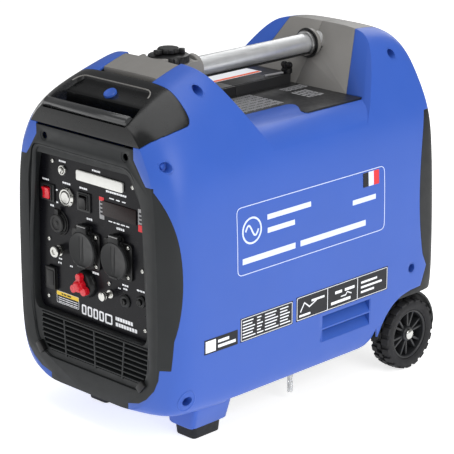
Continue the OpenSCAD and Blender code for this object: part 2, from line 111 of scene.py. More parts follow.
def prism(name, outline, low, high, axis="Y"):
    # an outline across an axis, extruded from low to high along it
    clearSelection()
    bpy.ops.mesh.primitive_circle_add(vertices=len(outline), radius=1, fill_type="NGON")
    piece = named(name)
    for vertex, (a, b) in zip(piece.data.vertices, outline):
        vertex.co = spot(axis, a, b, low)
    bpy.ops.object.mode_set(mode="EDIT")
    bpy.ops.mesh.select_all(action="SELECT")
    bpy.ops.mesh.extrude_region_move(TRANSFORM_OT_translate={"value": spot(axis, 0, 0, high - low)})
    return tidyNormals(piece)


def loft(name, rings, close=True):
    # a skin through rings of equal count, from a grid whose seam is merged
    clearSelection()
    count = len(rings[0])
    bpy.ops.mesh.primitive_grid_add(x_subdivisions=count, y_subdivisions=len(rings) - 1, size=1)
    piece = named(name)
    for index, vertex in enumerate(piece.data.vertices):
        row, column = divmod(index, count + 1)
        vertex.co = Vector(rings[row][column % count]) * mm
    tidyNormals(piece)
    if close:
        closeEnds(piece)
    return piece


def closeEnds(piece):
    pick(piece)
    bpy.ops.object.mode_set(mode="EDIT")
    bpy.ops.mesh.select_all(action="SELECT")
    bpy.ops.mesh.fill_holes(sides=0)
    return tidyNormals(piece)


def turned(name, centre, profile, axis="Y", sides=64):
    # a lathe shape: profile holds (radius, place along the axis) from one end to the other
    rings = []
    for radius, along in profile:
        ring = []
        for step in range(sides):
            angle = 2 * math.pi * step / sides
            a, b = radius * math.cos(angle), radius * math.sin(angle)
            ring.append(Vector(centre) + spot(axis, a, b, along) / mm)
        rings.append(ring)
    return loft(name, rings)


def applyStep(piece, kind, **settings):
    pick(piece)
    step = piece.modifiers.new(kind.lower(), kind)
    for setting, value in settings.items():
        setattr(step, setting, value)
    bpy.ops.object.modifier_apply(modifier=step.name)
    return piece


def combine(piece, tool, operation="DIFFERENCE", keep=False):
    applyStep(piece, "BOOLEAN", operation=operation, solver="EXACT", object=tool)
    if not keep:
        bpy.data.objects.remove(tool)
    return piece


def joined(name, pieces):
    clearSelection()
    for piece in pieces:
        piece.select_set(True)
    bpy.context.view_layer.objects.active = pieces[0]
    if len(pieces) > 1:
        bpy.ops.object.join()
    return named(name)


def copied(piece, name):
    twin = piece.copy()
    twin.data = piece.data.copy()
    twin.name = name
    bpy.context.collection.objects.link(twin)
    return twin


def smoothed(piece, angle=32):
    pick(piece)
    bpy.ops.object.shade_smooth_by_angle(angle=math.radians(angle))
    return piece


def softened(piece, width, segments=2, angle=38, merge=0.05):
    # rounded moulded edges
    tidyNormals(piece, merge)
    applyStep(piece, "BEVEL", width=width * mm, segments=segments, limit_method="ANGLE",
              angle_limit=math.radians(angle), use_clamp_overlap=True, harden_normals=False)
    return smoothed(piece)


def shifted(piece, offset):
    piece.location = [c * mm for c in offset]
    return settle(piece)


def spun(piece, angle, axis, centre):
    # turned about a point by degrees
    pick(piece)
    bpy.ops.object.mode_set(mode="EDIT")
    bpy.ops.mesh.select_all(action="SELECT")
    bpy.ops.transform.rotate(value=math.radians(angle), orient_axis=axis,
                             center_override=Vector(centre) * mm)
    bpy.ops.object.mode_set(mode="OBJECT")
    return piece


def wire(name, points, radius, closed=False):
    # a round bead along a path of points
    clearSelection()
    line = bpy.data.curves.new(name, "CURVE")
    line.dimensions = "3D"
    line.bevel_depth = radius * mm
    line.bevel_resolution = 3
    spline = line.splines.new("POLY")
    spline.points.add(len(points) - 1)
    for dot, place in zip(spline.points, points):
        dot.co = (*(c * mm for c in place), 1)
    spline.use_cyclic_u = closed
    line.use_fill_caps = not closed
    piece = bpy.data.objects.new(name, line)
    bpy.context.collection.objects.link(piece)
    pick(piece)
    bpy.ops.object.convert(target="MESH")
    return tidyNormals(named(name))


def rounded(outline, radius, steps=5):
    # the same outline with each corner turned into an arc
    smooth = []
    for index, corner in enumerate(outline):
        here = Vector(corner)
        before = Vector(outline[index - 1]) - here
        after = Vector(outline[(index + 1) % len(outline)]) - here
        reach = min(radius, before.length * 0.48, after.length * 0.48)
        start = here + before.normalized() * reach
        end = here + after.normalized() * reach
        for step in range(steps + 1):
            t = step / steps
            smooth.append(tuple(start * (1 - t) ** 2 + here * 2 * t * (1 - t) + end * t ** 2))
    return smooth


def nodeCentre(node):
    low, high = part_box(node)
    return (low + high) / 2 / mm


def finished(piece, body, material, slotName, *stands):
    piece.data.materials.clear()
    piece.data.materials.append(material)
    for face in piece.data.polygons:
        face.material_index = 0
    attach(piece, body)
    if stands:
        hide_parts(*stands)
    return piece


# materials

def newMaterial(name):
    material = bpy.data.materials.new(name)
    material.use_nodes = True
    return material, material.node_tree.nodes, material.node_tree.links, \
        material.node_tree.nodes["Principled BSDF"]


def linear(red, green, blue):
    # from screen values of 0 to 255
    return [((c / 255 + 0.055) / 1.055) ** 2.4 if c > 10 else c / 255 / 12.92 for c in (red, green, blue)]


def noiseAt(nodes, links, place, size, detail=3, stretch=None):
    # a noise whose features are about size millimetres
    noise = nodes.new("ShaderNodeTexNoise")
    noise.inputs["Scale"].default_value = 1 / (size * mm)
    noise.inputs["Detail"].default_value = detail
    if stretch:
        mapping = nodes.new("ShaderNodeMapping")
        mapping.inputs["Scale"].default_value = stretch
        links.new(place.outputs["Object"], mapping.inputs["Vector"])
        links.new(mapping.outputs["Vector"], noise.inputs["Vector"])
    else:
        links.new(place.outputs["Object"], noise.inputs["Vector"])
    return noise


def spread(nodes, links, source, low, high, fromLow=0.3, fromHigh=0.7):
    ranged = nodes.new("ShaderNodeMapRange")
    ranged.inputs["From Min"].default_value = fromLow
    ranged.inputs["From Max"].default_value = fromHigh
    ranged.inputs["To Min"].default_value = low
    ranged.inputs["To Max"].default_value = high
    links.new(source, ranged.inputs["Value"])
    return ranged.outputs["Result"]


def surface(name, colour, rough, grain=0.7, height=0.03, tone=0.05, roughSpread=0.05, patch=60,
            stretch=None, metal=0.0, coat=0.0, specular=0.5, dust=0.0):
    # a moulded or worked surface: grain in the relief, cloudy tone and uneven gloss
    material, nodes, links, shader = newMaterial(name)
    place = nodes.new("ShaderNodeTexCoord")
    cloud = noiseAt(nodes, links, place, patch, 4)
    mixer = nodes.new("ShaderNodeMix")
    mixer.data_type = "RGBA"
    mixer.inputs["A"].default_value = (*[c * (1 - tone) for c in colour], 1)
    mixer.inputs["B"].default_value = (*[min(1, c * (1 + tone) + dust) for c in colour], 1)
    links.new(spread(nodes, links, cloud.outputs["Fac"], 0, 1), mixer.inputs["Factor"])
    links.new(mixer.outputs["Result"], shader.inputs["Base Color"])
    fine = noiseAt(nodes, links, place, grain, 2, stretch)
    worn = noiseAt(nodes, links, place, patch / 5, 5, stretch)
    links.new(spread(nodes, links, worn.outputs["Fac"], rough - roughSpread, rough + roughSpread),
              shader.inputs["Roughness"])
    bump = nodes.new("ShaderNodeBump")
    bump.inputs["Strength"].default_value = 0.6
    bump.inputs["Distance"].default_value = height * mm
    links.new(fine.outputs["Fac"], bump.inputs["Height"])
    links.new(bump.outputs["Normal"], shader.inputs["Normal"])
    shader.inputs["Metallic"].default_value = metal
    shader.inputs["Specular IOR Level"].default_value = specular
    if coat:
        shader.inputs["Coat Weight"].default_value = coat
        shader.inputs["Coat Roughness"].default_value = 0.08
    return material


bluePlastic = surface("blue_plastic", linear(50, 88, 176), 0.38, 0.9, 0.02, 0.03, 0.05, 160, specular=0.35)
darkPlastic = surface("dark_plastic", linear(32, 34, 35), 0.46, 0.8, 0.05, 0.08, 0.06, 70, specular=0.25)
paintedPanel = surface("gloss_panel", linear(15, 15, 19), 0.3, 0.6, 0.012, 0.1, 0.05, 50, specular=0.15)
handlePlastic = surface("grip_plastic", linear(14, 15, 16), 0.24, 0.7, 0.008, 0.1, 0.05, 60, specular=0.4)
# the lip bar's lighter grey base colour is a painted highlight; its higher specular is real gloss
gripGlossPaintedHighlight = surface("grip_gloss_painted_highlight", linear(46, 47, 48), 0.2, 0.7, 0.006, 0.08, 0.04, 40, specular=0.6)
greyPlastic = surface("grey_cover", linear(122, 120, 117), 0.42, 0.8, 0.05, 0.04, 0.05, 60, specular=0.4)
deckPlastic = surface("deck_plastic", linear(32, 32, 33), 0.42, 0.9, 0.04, 0.08, 0.06, 40, specular=0.3)
knobPlastic = surface("knob_plastic", linear(19, 19, 20), 0.34, 0.7, 0.03, 0.1, 0.06, 30, specular=0.28)
housingPlastic = surface("housing_plastic", linear(28, 29, 30), 0.36, 0.7, 0.03, 0.08, 0.06, 40, specular=0.25)
tyreRubber = surface("tyre_rubber", linear(30, 30, 32), 0.66, 0.9, 0.08, 0.15, 0.08, 20, specular=0.25, dust=0.002)
rimPlastic = surface("rim_plastic", linear(36, 37, 39), 0.4, 0.8, 0.04, 0.1, 0.07, 30, specular=0.35)
footRubber = surface("foot_rubber", linear(32, 33, 36), 0.6, 1.0, 0.1, 0.12, 0.08, 20, specular=0.25)
redPlastic = surface("red_plastic", linear(204, 16, 34), 0.26, 0.8, 0.015, 0.06, 0.05, 15, coat=0.2)
brightSteel = surface("bright_steel", linear(196, 196, 192), 0.2, 0.5, 0.006, 0.04, 0.06, 8, metal=1.0)
plainSteel = surface("plain_steel", linear(150, 150, 150), 0.34, 0.5, 0.03, 0.08, 0.1, 10, metal=1.0)
brushedTube = surface("brushed_tube", linear(218, 219, 220), 0.38, 0.35, 0.02, 0.05, 0.08, 14,
                      stretch=(1, 0.04, 1), metal=0.85)
lampLens = surface("lamp_lens", linear(226, 226, 222), 0.35, 0.8, 0.02, 0.02, 0.04, 12)
displayGlass = surface("display_glass", linear(26, 14, 14), 0.2, 0.6, 0.004, 0.12, 0.03, 12, specular=0.15)
whitePrint = surface("white_print", linear(238, 240, 244), 0.5, 0.5, 0.01, 0.02, 0.05, 12)
bluePrint = surface("pale_blue_print", linear(214, 224, 248), 0.45, 0.5, 0.01, 0.02, 0.05, 12)
redPrint = surface("red_print", linear(214, 34, 44), 0.5, 0.5, 0.01, 0.05, 0.05, 12)
orangePrint = surface("orange_print", linear(232, 92, 40), 0.5, 0.5, 0.01, 0.05, 0.05, 12)
yellowPrint = surface("yellow_print", linear(232, 196, 48), 0.5, 0.5, 0.01, 0.05, 0.05, 12)
labelBlack = surface("black_label", linear(22, 23, 28), 0.4, 0.5, 0.008, 0.08, 0.06, 30, specular=0.25)
labelSilver = surface("silver_label", linear(150, 150, 152), 0.45, 0.5, 0.01, 0.05, 0.06, 10)
castMetal = surface("cast_aluminium", linear(170, 172, 174), 0.5, 1.2, 0.2, 0.08, 0.1, 20, metal=0.9)
sheetMetal = surface("sheet_metal", linear(120, 118, 116), 0.45, 0.8, 0.05, 0.2, 0.12, 30, metal=0.9)
copperWire = surface("wound_copper", linear(176, 100, 50), 0.4, 1.0, 0.3, 0.12, 0.08, 12,
                     stretch=(1, 0.05, 1), metal=0.9)
print("materials ready")


# camera, light and floor

view = {"place": (1785.53, -1804.51, 1026.76), "tilt": 72.46, "heading": 44.751, "lens": 150.83}
clearSelection()
bpy.ops.object.camera_add(location=[c * mm for c in view["place"]],
                          rotation=(math.radians(view["tilt"]), 0, math.radians(view["heading"])))
camera = bpy.context.object
camera.data.sensor_width = 36
camera.data.lens = view["lens"]
camera.data.clip_start = 0.05
bpy.context.scene.camera = camera

studio = {  # place, what it faces, width and power
    "overhead": ((300, 0, 2300), (0, 0, 300), 2200, 30),
    "rightSoftbox": ((2300, -300, 1300), (0, 0, 260), 1600, 31),
    "frontFill": ((-500, -2600, 900), (0, -200, 250), 1500, 12),
    "backRim": ((-900, 2100, 1500), (0, 0, 300), 1400, 12),
}
for lightName, (place, target, width, power) in studio.items():
    bpy.ops.object.light_add(type="AREA", location=[c * mm for c in place])
    lamp = bpy.context.object
    lamp.name = lightName
    lamp.data.size = width * mm
    lamp.data.energy = power
    towards = Vector(target) - Vector(place)
    lamp.rotation_euler = towards.to_track_quat("-Z", "Y").to_euler()
world = bpy.data.worlds.new("studio")
bpy.context.scene.world = world
world.use_nodes = True
# white where the camera sees past the floor, dimmer as a light
sky = world.node_tree
sky.nodes["Background"].inputs["Color"].default_value = (1, 1, 1, 1)
rays = sky.nodes.new("ShaderNodeLightPath")
sky.links.new(spread(sky.nodes, sky.links, rays.outputs["Is Camera Ray"], 0.3, 1, 0, 1),
              sky.nodes["Background"].inputs["Strength"])
bpy.context.scene.view_settings.view_transform = "Standard"

clearSelection()
bpy.ops.mesh.primitive_plane_add(size=14)
floor = named("floor")
paleFloor = surface("pale_floor", linear(240, 240, 240), 0.8, 2.0, 0.01, 0.01, 0.04, 200, specular=0.1)
glow = paleFloor.node_tree.nodes["Principled BSDF"]
glow.inputs["Emission Color"].default_value = (1, 1, 1, 1)
glow.inputs["Emission Strength"].default_value = 0.72
floor.data.materials.append(paleFloor)
print("studio ready")


# the smooth form of the casing, and the tools that part it into its mouldings

# half cross-sections from the bottom centre to the top centre: (x, z)
casing = {
    "wall": 3,
    "front": [(0, 50), (50, 50), (78, 50), (100, 58), (122, 80), (134, 112), (135, 190), (134, 270), (131, 320),
              (127, 361), (120, 380), (113, 394), (106, 408), (98, 417), (90, 426), (80, 435), (0, 436)],
    "flank": [(0, 42), (50, 42), (90, 42), (134, 45), (153, 64), (160, 104), (160, 190), (160, 270), (160, 316),
              (150, 372), (138, 396), (127, 414), (112, 428), (98, 438), (88, 443), (76, 447), (0, 448)],
    "nose": [(0, 42), (50, 42), (90, 42), (140, 44), (156, 62), (162, 100), (163, 190), (163, 260), (160, 316),
             (155, 366), (145, 396), (132, 421), (118, 440), (103, 452), (88, 461), (70, 466), (0, 467)],
    "hump": [(0, 42), (50, 42), (95, 42), (146, 43), (159, 62), (163, 95), (163, 190), (163, 260), (161, 316),
             (156, 370), (145, 398), (133, 420), (121, 442), (108, 461), (94, 477), (70, 490), (0, 490)],
    "tail": [(0, 42), (50, 42), (95, 42), (146, 43), (158, 62), (163, 95), (163, 190), (163, 260), (161, 316),
             (156, 369), (145, 398), (134, 421), (122, 443), (109, 462), (94, 477), (68, 488), (0, 488)],
    "shoulder": [(0, 80), (50, 80), (97, 80), (143, 81), (157, 90), (162, 115), (162, 190), (162, 260), (160, 316),
                 (156, 368), (146, 398), (134, 421), (122, 443), (108, 461), (91, 473), (66, 481), (0, 482)],
    "back": [(0, 96), (50, 96), (100, 96), (140, 97), (155, 103), (160, 125), (161, 190), (160, 250), (158, 316),
             (154, 362), (143, 393), (131, 415), (118, 435), (103, 450), (86, 458), (64, 465), (0, 466)],
    "stern": [(0, 100), (50, 100), (90, 100), (120, 101), (137, 106), (143, 125), (144, 190), (143, 250),
              (140, 300), (133, 352), (123, 380), (112, 400), (100, 414), (88, 425), (74, 433), (60, 436), (0, 437)],
}


def halfInset(half, inset):
    # the half-section moved inward by inset
    moved = []
    last = len(half) - 1
    for index, (x, z) in enumerate(half):
        before = half[index - 1] if index > 0 else (-half[1][0], half[1][1])
        after = half[index + 1] if index < last else (-half[last - 1][0], half[last - 1][1])
        along = Vector((after[0] - before[0], after[1] - before[1])).normalized()
        moved.append((max(0, x - along.y * inset) if 0 < index < last else 0, z + along.x * inset))
    return moved


def casingRing(half, y, lean=0.0):
    ring = []
    for x, z in half + [(-x, z) for x, z in reversed(half[1:-1])]:
        ring.append((x, y - lean * (z - 105), z))
    return ring


def casingForm(name, inset=0):
    stations = [("front", -264 + inset, 0), ("flank", -245, 0), ("nose", -210, 0), ("hump", -142, 0),
                ("hump", -128, 0), ("hump", 30, 0), ("hump", 182, 0), ("hump", 196, 0), ("tail", 228, 0),
                ("shoulder", 245 - inset, 0), ("back", 257 - inset, 0.02), ("stern", 273.5 - inset, 0.04)]
    rings = [casingRing(halfInset(casing[section], inset), y, lean) for section, y, lean in stations]
    form = loft(name, rings, close=False)
    applyStep(form, "SUBSURF", levels=3, render_levels=3)
    return closeEnds(form)


def saddleTool(grow):
    # the hollow between the humps, with rounded shoulders at its sides
    half = [(0, 408), (106, 408), (118, 407.4), (127, 405), (135, 400.5), (142, 394), (148, 386), (153, 376),
            (157.5, 364), (161, 350), (166, 336), (205, 336), (205, 530), (0, 530)]
    outline = [(x, z - grow) for x, z in half] + [(-x, z - grow) for x, z in reversed(half[1:-1])]
    hollow = prism("saddle_tool", outline, -260, 260)
    slope = [(-88 - 0.634 * (z - 408) - grow, z) for z in (530, 325)]
    rise = [(135 + 0.679 * (z - 408) + grow, z) for z in (325, 530)]
    return combine(hollow, prism("saddle_ends", slope + rise, -210, 210, "X"), "INTERSECT")


def handleTool(gap):
    # the space that the pull-out handle takes
    edge = [(-264, 408), (-252, 415.5), (-240, 420.5), (-222, 425), (-204, 428), (-199, 428.8)]
    outline = [(-300, 397 - gap)] + [(y, z - gap) for y, z in edge]
    outline += [(-195 + gap, 431 - gap), (-192 + gap, 436 - gap), (-191 + gap, 444), (-191 + gap, 530), (-300, 530)]
    return prism("handle_tool", outline, -210, 210, "X")


def frontTool():
    # the front bezel's zone
    half = [(77, 30), (77, 60), (97, 65), (112, 75), (126, 90), (133, 106), (135, 120), (137, 121), (137, 290),
            (128, 361), (116, 361), (109, 370), (94, 392), (94, 425)]
    zone = prism("front_tool", half + [(-x, z) for x, z in reversed(half)], -300, -255)
    middle, radius = (-552, 240), 312
    arc = [(-300, 120.5), (-252.6, 120.5)]
    for step in range(22):
        z = 161 + (361 - 161) * step / 21
        arc.append((middle[0] + math.sqrt(radius ** 2 - (z - middle[1]) ** 2), z))
    arc.append((-300, 361))
    return combine(zone, prism("flank_tool", arc, -210, 210, "X"), "UNION")


def rearOutline():
    # where the side mouldings end at the back: a bowed edge, then the wheel arch
    bow = [(640 - math.sqrt(420 ** 2 - (z - 262) ** 2), z) for z in range(378, 156, -14)]
    arch = []
    for angle in range(100, 176, 7):
        arch.append((205.3 + 66 * math.cos(math.radians(angle)), 52.7 + 66 * math.sin(math.radians(angle))))
    low = [(134, 80), (126, 66), (115, 57), (99, 54), (99, 30), (320, 30), (320, 378)]
    return bow + [(240, 150), (228, 121), (206, 120)] + arch + low


print("casing form")
form = casingForm("casing_form")
core = casingForm("casing_core", casing["wall"])
solid = copied(form, "casing_solid")
combine(solid, saddleTool(0))
combine(core, saddleTool(casing["wall"]))
combine(solid, handleTool(0.3))
combine(core, handleTool(casing["wall"]))
combine(solid, core)
combine(solid, block("bottom_tool", (-300, -157, 0), (300, 300, 55)))


# side mouldings

side = {
    "louvreZ": (120, 100),
    "wells": [(101, -158, 464), (142, -247, 387), (112, 210, 456), (160, 206, 153), (155, -231, 75)],
    "wellRadius": 7.6,
    "wellDepth": 15,
}
deckPlan = [(-76, -96), (76, -96), (76, 33), (77.5, 38), (81, 41), (87, 41), (98, 35), (110, 25), (116, 21),
            (121, 21), (124, 26), (124, 136)]
deckPlan += [(-x, y) for x, y in reversed(deckPlan[2:])]


def coverTools(gap):
    front = block("front_cover_tool", (-51 - gap, -191 - gap, 440), (51 + gap, -72, 530))
    trapezoid = [(-95 - gap, 370), (95 + gap, 370), (95 + gap, 409), (61.5 + gap, 490), (61.5 + gap, 530),
                 (-61.5 - gap, 530), (-61.5 - gap, 490), (-95 - gap, 409)]
    rear = prism("rear_cover_tool", trapezoid, 118, 245 + gap)
    deck = prism("deck_tool", deckPlan, 380, 424, "Z")
    return [front, rear, deck]


def sideShell(sign):
    shell = copied(solid, "right_side_shell" if sign > 0 else "left_side_shell")
    limits = ((0.15, -300, 0), (300, 300, 530)) if sign > 0 else ((-300, -300, 0), (-0.15, 300, 530))
    combine(shell, block("half", *limits), "INTERSECT")
    for tool in coverTools(0.2) + [frontTool(), prism("rear_tool", rearOutline(), -210, 210, "X")]:
        combine(shell, tool)
    # two louvres that slant inward, each a scoop with a sloping floor
    for z in side["louvreZ"]:
        scoop = prism("louvre", [(sign * 170, z + 9), (sign * 157, z + 9), (sign * 152, z + 5),
                                 (sign * 163.2, z - 9), (sign * 170, z - 9)], 16, 118)
        combine(shell, scoop)
    for x, y, z in side["wells"]:
        combine(shell, drum("well", (sign * x, y, z), side["wellRadius"], 60, "X", 32))
    return softened(shell, 0.9, 2, 36)


def wellCups(sign, name):
    # each screw well is a tube with its screw at the bottom
    cups = []
    for x, y, z in side["wells"]:
        r, deep = side["wellRadius"], side["wellDepth"]
        profile = [(0, 1.4 - deep), (3.4, 1 - deep), (4, -deep - 1), (r - 1, -deep), (r - 1, 20), (r + 0.6, 20),
                   (r + 0.6, -deep - 2.5), (0, -deep - 2.5)]
        cup = turned("cup", (0, 0, 0), [(r, along * sign) for r, along in profile], "X", 32)
        shifted(cup, (sign * (x + (1.5 if z < 400 else 0)), y, z))
        # trimmed to the moulding's own surface
        cups.append(combine(cup, form, "INTERSECT", keep=True))
    return smoothed(joined(name, cups))


print("side shells")
rightShell = sideShell(1)
leftShell = sideShell(-1)
combine(leftShell, block("recoil_pocket_tool", (-200, 42, 209), (-140, 78, 291)))
finished(smoothed(leftShell), "housing", bluePlastic, "blue_plastic", "left_side_shell")
finished(rightShell, "housing", bluePlastic, "blue_plastic", "right_side_shell")
for sign, name in ((1, "right_screw_wells"), (-1, "left_screw_wells")):
    finished(wellCups(sign, name), "housing", bluePlastic, "blue_plastic")


def louvreBacks(sign):
    # the sloping floor of each louvre and its two cheeks
    floors = []
    for z in side["louvreZ"]:
        outline = [(sign * 161.5, z - 8.6), (sign * 163, z - 8.6), (sign * 151, z + 6.5), (sign * 149.5, z + 6.5)]
        floors.append(prism("louvre_floor", outline, 16.5, 117.5))
        for y in (16, 116):
            outline = [(sign * 162.5, z - 8.8), (sign * 149.5, z + 6), (sign * 149.5, z + 10), (sign * 162.5, z + 9)]
            floors.append(prism("louvre_cheek", outline, y, y + 1.6))
    return joined("louvre_floors", floors)


for sign, name in ((1, "right_louvre_floors"), (-1, "left_louvre_floors")):
    floors = louvreBacks(sign)
    floors.name = name
    finished(floors, "housing", bluePlastic, "blue_plastic")


# recoil grip and its pocket

recoil = {"halfHeight": 34, "middleY": 60, "waist": 0.3}
pocket = block("recoil_pocket", (-161.4, 39, 206), (-146, 81, 294))
combine(pocket, block("pocket_hollow", (-175, 42, 209), (-149, 78, 291)))
finished(softened(pocket, 1.2), "housing", bluePlastic, "blue_plastic")
low, high = ([c / mm for c in corner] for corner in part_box("recoil_grip"))
grip = block("recoil_grip", (low[0], low[1], low[2]), (low[0] + 10, high[1], high[2]))
pick(grip)
bpy.ops.object.mode_set(mode="EDIT")
bpy.ops.mesh.select_all(action="SELECT")
bpy.ops.mesh.subdivide(number_cuts=7)
bpy.ops.object.mode_set(mode="OBJECT")
middleZ = (low[2] + high[2]) / 2 * mm
for vertex in grip.data.vertices:
    along = (vertex.co.z - middleZ) / (recoil["halfHeight"] * mm)
    waist = 1 - recoil["waist"] * math.cos(along * math.pi / 2) ** 2
    middleY = recoil["middleY"] * mm
    vertex.co.y = middleY + (vertex.co.y - middleY) * waist
combine(grip, drum("recoil_stem", (low[0] + 9, recoil["middleY"], 250), 4, 7, "X", 24), "UNION")
finished(softened(grip, 2.2, 3, 50), "recoil_grip", knobPlastic, "dark_plastic", "recoil_grip")


# top covers

cover = {"halfWidth": 50.7, "shelf": 478, "capPocket": 30}
frontCoverOutline = [(-182, 455), (-182, 530), (-136.5, 530), (-136, cover["shelf"]), (-80, cover["shelf"]),
                     (-75.5, 476), (-74, 470), (-72.6, 408.3), (-92, 408.3), (-118, 455)]
frontCover = prism("front_top_cover", frontCoverOutline, -cover["halfWidth"], cover["halfWidth"], "X")
combine(frontCover, form, "INTERSECT", keep=True)
hollow = [(-178, 440), (-178, 469), (-142, 485), (-139.5, 485), (-139.5, 475), (-83, 475), (-78, 470),
          (-76, 400), (-140, 400)]
combine(frontCover, prism("cover_hollow", hollow, -20, 20, "X"))
# beside the tube's mount the cover falls with the hump
for low, high in ((-60, -24), (24, 60)):
    combine(frontCover, prism("beside", [(-88, 400), (-40, 400), (-40, 530), (-171, 530)], low, high, "X"))
combine(frontCover, drum("filler_hole", (0, -113, 480), 22, 60, "Z"))
combine(frontCover, drum("cap_pocket", (0, -113, 498), cover["capPocket"], 39, "Z", 64))
combine(frontCover, drum("tube_hole", (0, -76, 463), 14.6, 20, "Y"))
finished(softened(frontCover, 1.2, 3), "housing", greyPlastic, "grey_cover", "front_top_cover")

groove = prism("cover_groove", [(-190.8, 455), (-190.8, 463), (-182.2, 465.5), (-182.2, 455)], -51, 51, "X")
finished(softened(groove, 0.6), "housing", deckPlastic, "grey_cover")

rearCovers = copied(solid, "rear_top_cover")
outline = [(-94.6, 370), (94.6, 370), (94.6, 409), (61.1, 490), (61.1, 530), (-61.1, 530), (-61.1, 490),
           (-94.6, 409)]
combine(rearCovers, prism("rear_zone", outline, 110, 244.6), "INTERSECT")
combine(rearCovers, block("above_deck", (-200, 100, 408.4), (200, 300, 530)), "INTERSECT")
combine(rearCovers, drum("tube_hole", (0, 150, 463), 20.4, 40, "Y"))
for sign, name in ((1, "rear_top_cover_right"), (-1, "rear_top_cover_left")):
    half = copied(rearCovers, name)
    combine(half, block("half", (0.25 if sign > 0 else -300, 0, 0), (300 if sign > 0 else -0.25, 400, 600)),
            "INTERSECT")
    finished(softened(half, 0.8, 2), "housing", greyPlastic, "grey_cover", name)
bpy.data.objects.remove(rearCovers)


# the deck between the humps

deck = {"top": 408.2, "bottom": 404, "split": 19.8, "gap": 0.5, "raisedTop": 422, "raisedSide": -6}
deckShape = [(x * 0.994, y) for x, y in deckPlan]


def deckSlab(name, raised):
    slab = prism(name, deckShape, deck["bottom"], deck["top"], "Z")
    step = prism("raised", rounded(raised, 7), deck["top"] - 1, deck["raisedTop"], "Z")
    return combine(slab, step, "UNION")


edge = deck["raisedSide"]
narrow = deckSlab("top_deck", [(-75, -64), (edge, -64), (edge, 140), (-75, 140)])
combine(narrow, block("split", (-200, deck["split"], 380), (200, 300, 430)))
combine(narrow, drum("neck_way", (0, -113, 400), 22, 40, "Z"))
combine(narrow, block("ledge_way", (76.2, 10, 380), (200, 60, 430)))
finished(softened(narrow, 1.0, 2), "housing", deckPlastic, "deck_plastic", "top_deck")
wide = deckSlab("service_cover", [(-104, -20), (edge, -20), (edge, 134.6), (-104, 134.6)])
combine(wide, block("split", (-200, -200, 380), (200, deck["split"] + deck["gap"], 430)))
knobSpot = nodeCentre("cover_knob")
combine(wide, drum("knob_hole", (knobSpot.x, knobSpot.y, 420), 4, 20, "Z", 24))
finished(softened(wide, 1.0, 2), "housing", deckPlastic, "deck_plastic", "service_cover")

# thin moulded lines along the raised part
for name, x in (("deck_line_upper", edge - 3.5), ("deck_line_lower", edge + 4)):
    z = deck["raisedTop"] if x < edge else deck["top"]
    rib = block(name, (x - 0.8, -58, z - 0.3), (x + 0.8, 116, z + 0.7))
    finished(softened(rib, 0.35), "housing", deckPlastic, "deck_plastic")

# generic stickers: a pale strip with a coloured edge, and two patches of small boxes
stickers = {
    "strip": (-90, -56, -42, 110),
    "patches": [((2, -44, 70, 40), 7, 22), ((10, 90, 28, 134), 3, 17), ((36, 86, 74, 118), 4, 5)],
}
lowX, lowY, highX, highY = stickers["strip"]
top = deck["raisedTop"]
strip = prism("strip_sticker", rounded([(lowX, lowY), (highX, lowY), (highX, highY), (lowX, highY)], 2),
              top - 0.2, top + 0.3, "Z")
finished(strip, "housing", whitePrint, "deck_plastic")
edgeLine = block("strip_sticker_line", (highX - 7.5, lowY + 2, top), (highX - 1, highY - 2, top + 0.45))
finished(edgeLine, "housing", orangePrint, "deck_plastic")
for index, ((lowX, lowY, highX, highY), across, along) in enumerate(stickers["patches"]):
    cells = []
    for column in range(across):
        for row in range(along):
            cell = [lowX + (highX - lowX) * column / across, lowY + (highY - lowY) * row / along]
            wide = (highX - lowX) / across - (2.6 if (row * 5 + column * 3) % 4 else 0.6)
            deep = (highY - lowY) / along * 0.55
            cells.append(block("cell", (cell[0], cell[1], deck["top"] - 0.2),
                               (cell[0] + wide, cell[1] + deep, deck["top"] + 0.3)))
    finished(joined("boxed_sticker_%d" % (index + 1), cells), "housing", labelSilver, "deck_plastic")


# lift tube and its collars

print("tube, cap and handle")
tube = {"z": 463, "front": -78, "rear": 184}
liftTube = turned("lift_tube", (0, 0, tube["z"]), [
    (11.5, tube["rear"]), (11.5, tube["front"]), (13.4, tube["front"]), (14, tube["front"] + 0.8),
    (14, tube["rear"] - 0.8), (13.4, tube["rear"]), (11.5, tube["rear"])], "Y", 96)
finished(smoothed(tidyNormals(liftTube)), "housing", brushedTube, "tube_aluminium", "lift_tube")


def collar(name, y, depth, outer, inner=14.1):
    ring = [(inner, y), (outer - 1, y), (outer, y + 1), (outer, y + depth - 1), (outer - 1, y + depth),
            (inner, y + depth), (inner, y)]
    return smoothed(turned(name, (0, 0, tube["z"]), ring, "Y", 72), 40)


finished(joined("tube_collars", [collar("collar", -73.5, 8, 19.6), collar("collar", 158, 8.5, 20)]),
         "housing", greyPlastic, "deck_plastic", "tube_collars")
finished(collar("rear_collar_ring", 152, 6.4, 18), "housing", plainSteel, "deck_plastic")
# painted shadow: a dark strip along the tube's underside stands in for the shade below it
strip = [(radius * math.cos(math.radians(a)), tube["z"] + radius * math.sin(math.radians(a)))
         for radius, angles in ((13.9, range(-125, -49, 5)), (16.2, range(-50, -126, -5))) for a in angles]
finished(smoothed(prism("tube_painted_shadow_strip", strip, -70, 156)), "housing", knobPlastic, "deck_plastic")
finished(collar("rear_collar_seal", 156.5, 2.4, 21.4), "housing", knobPlastic, "deck_plastic")


# fuel cap with its vent lever

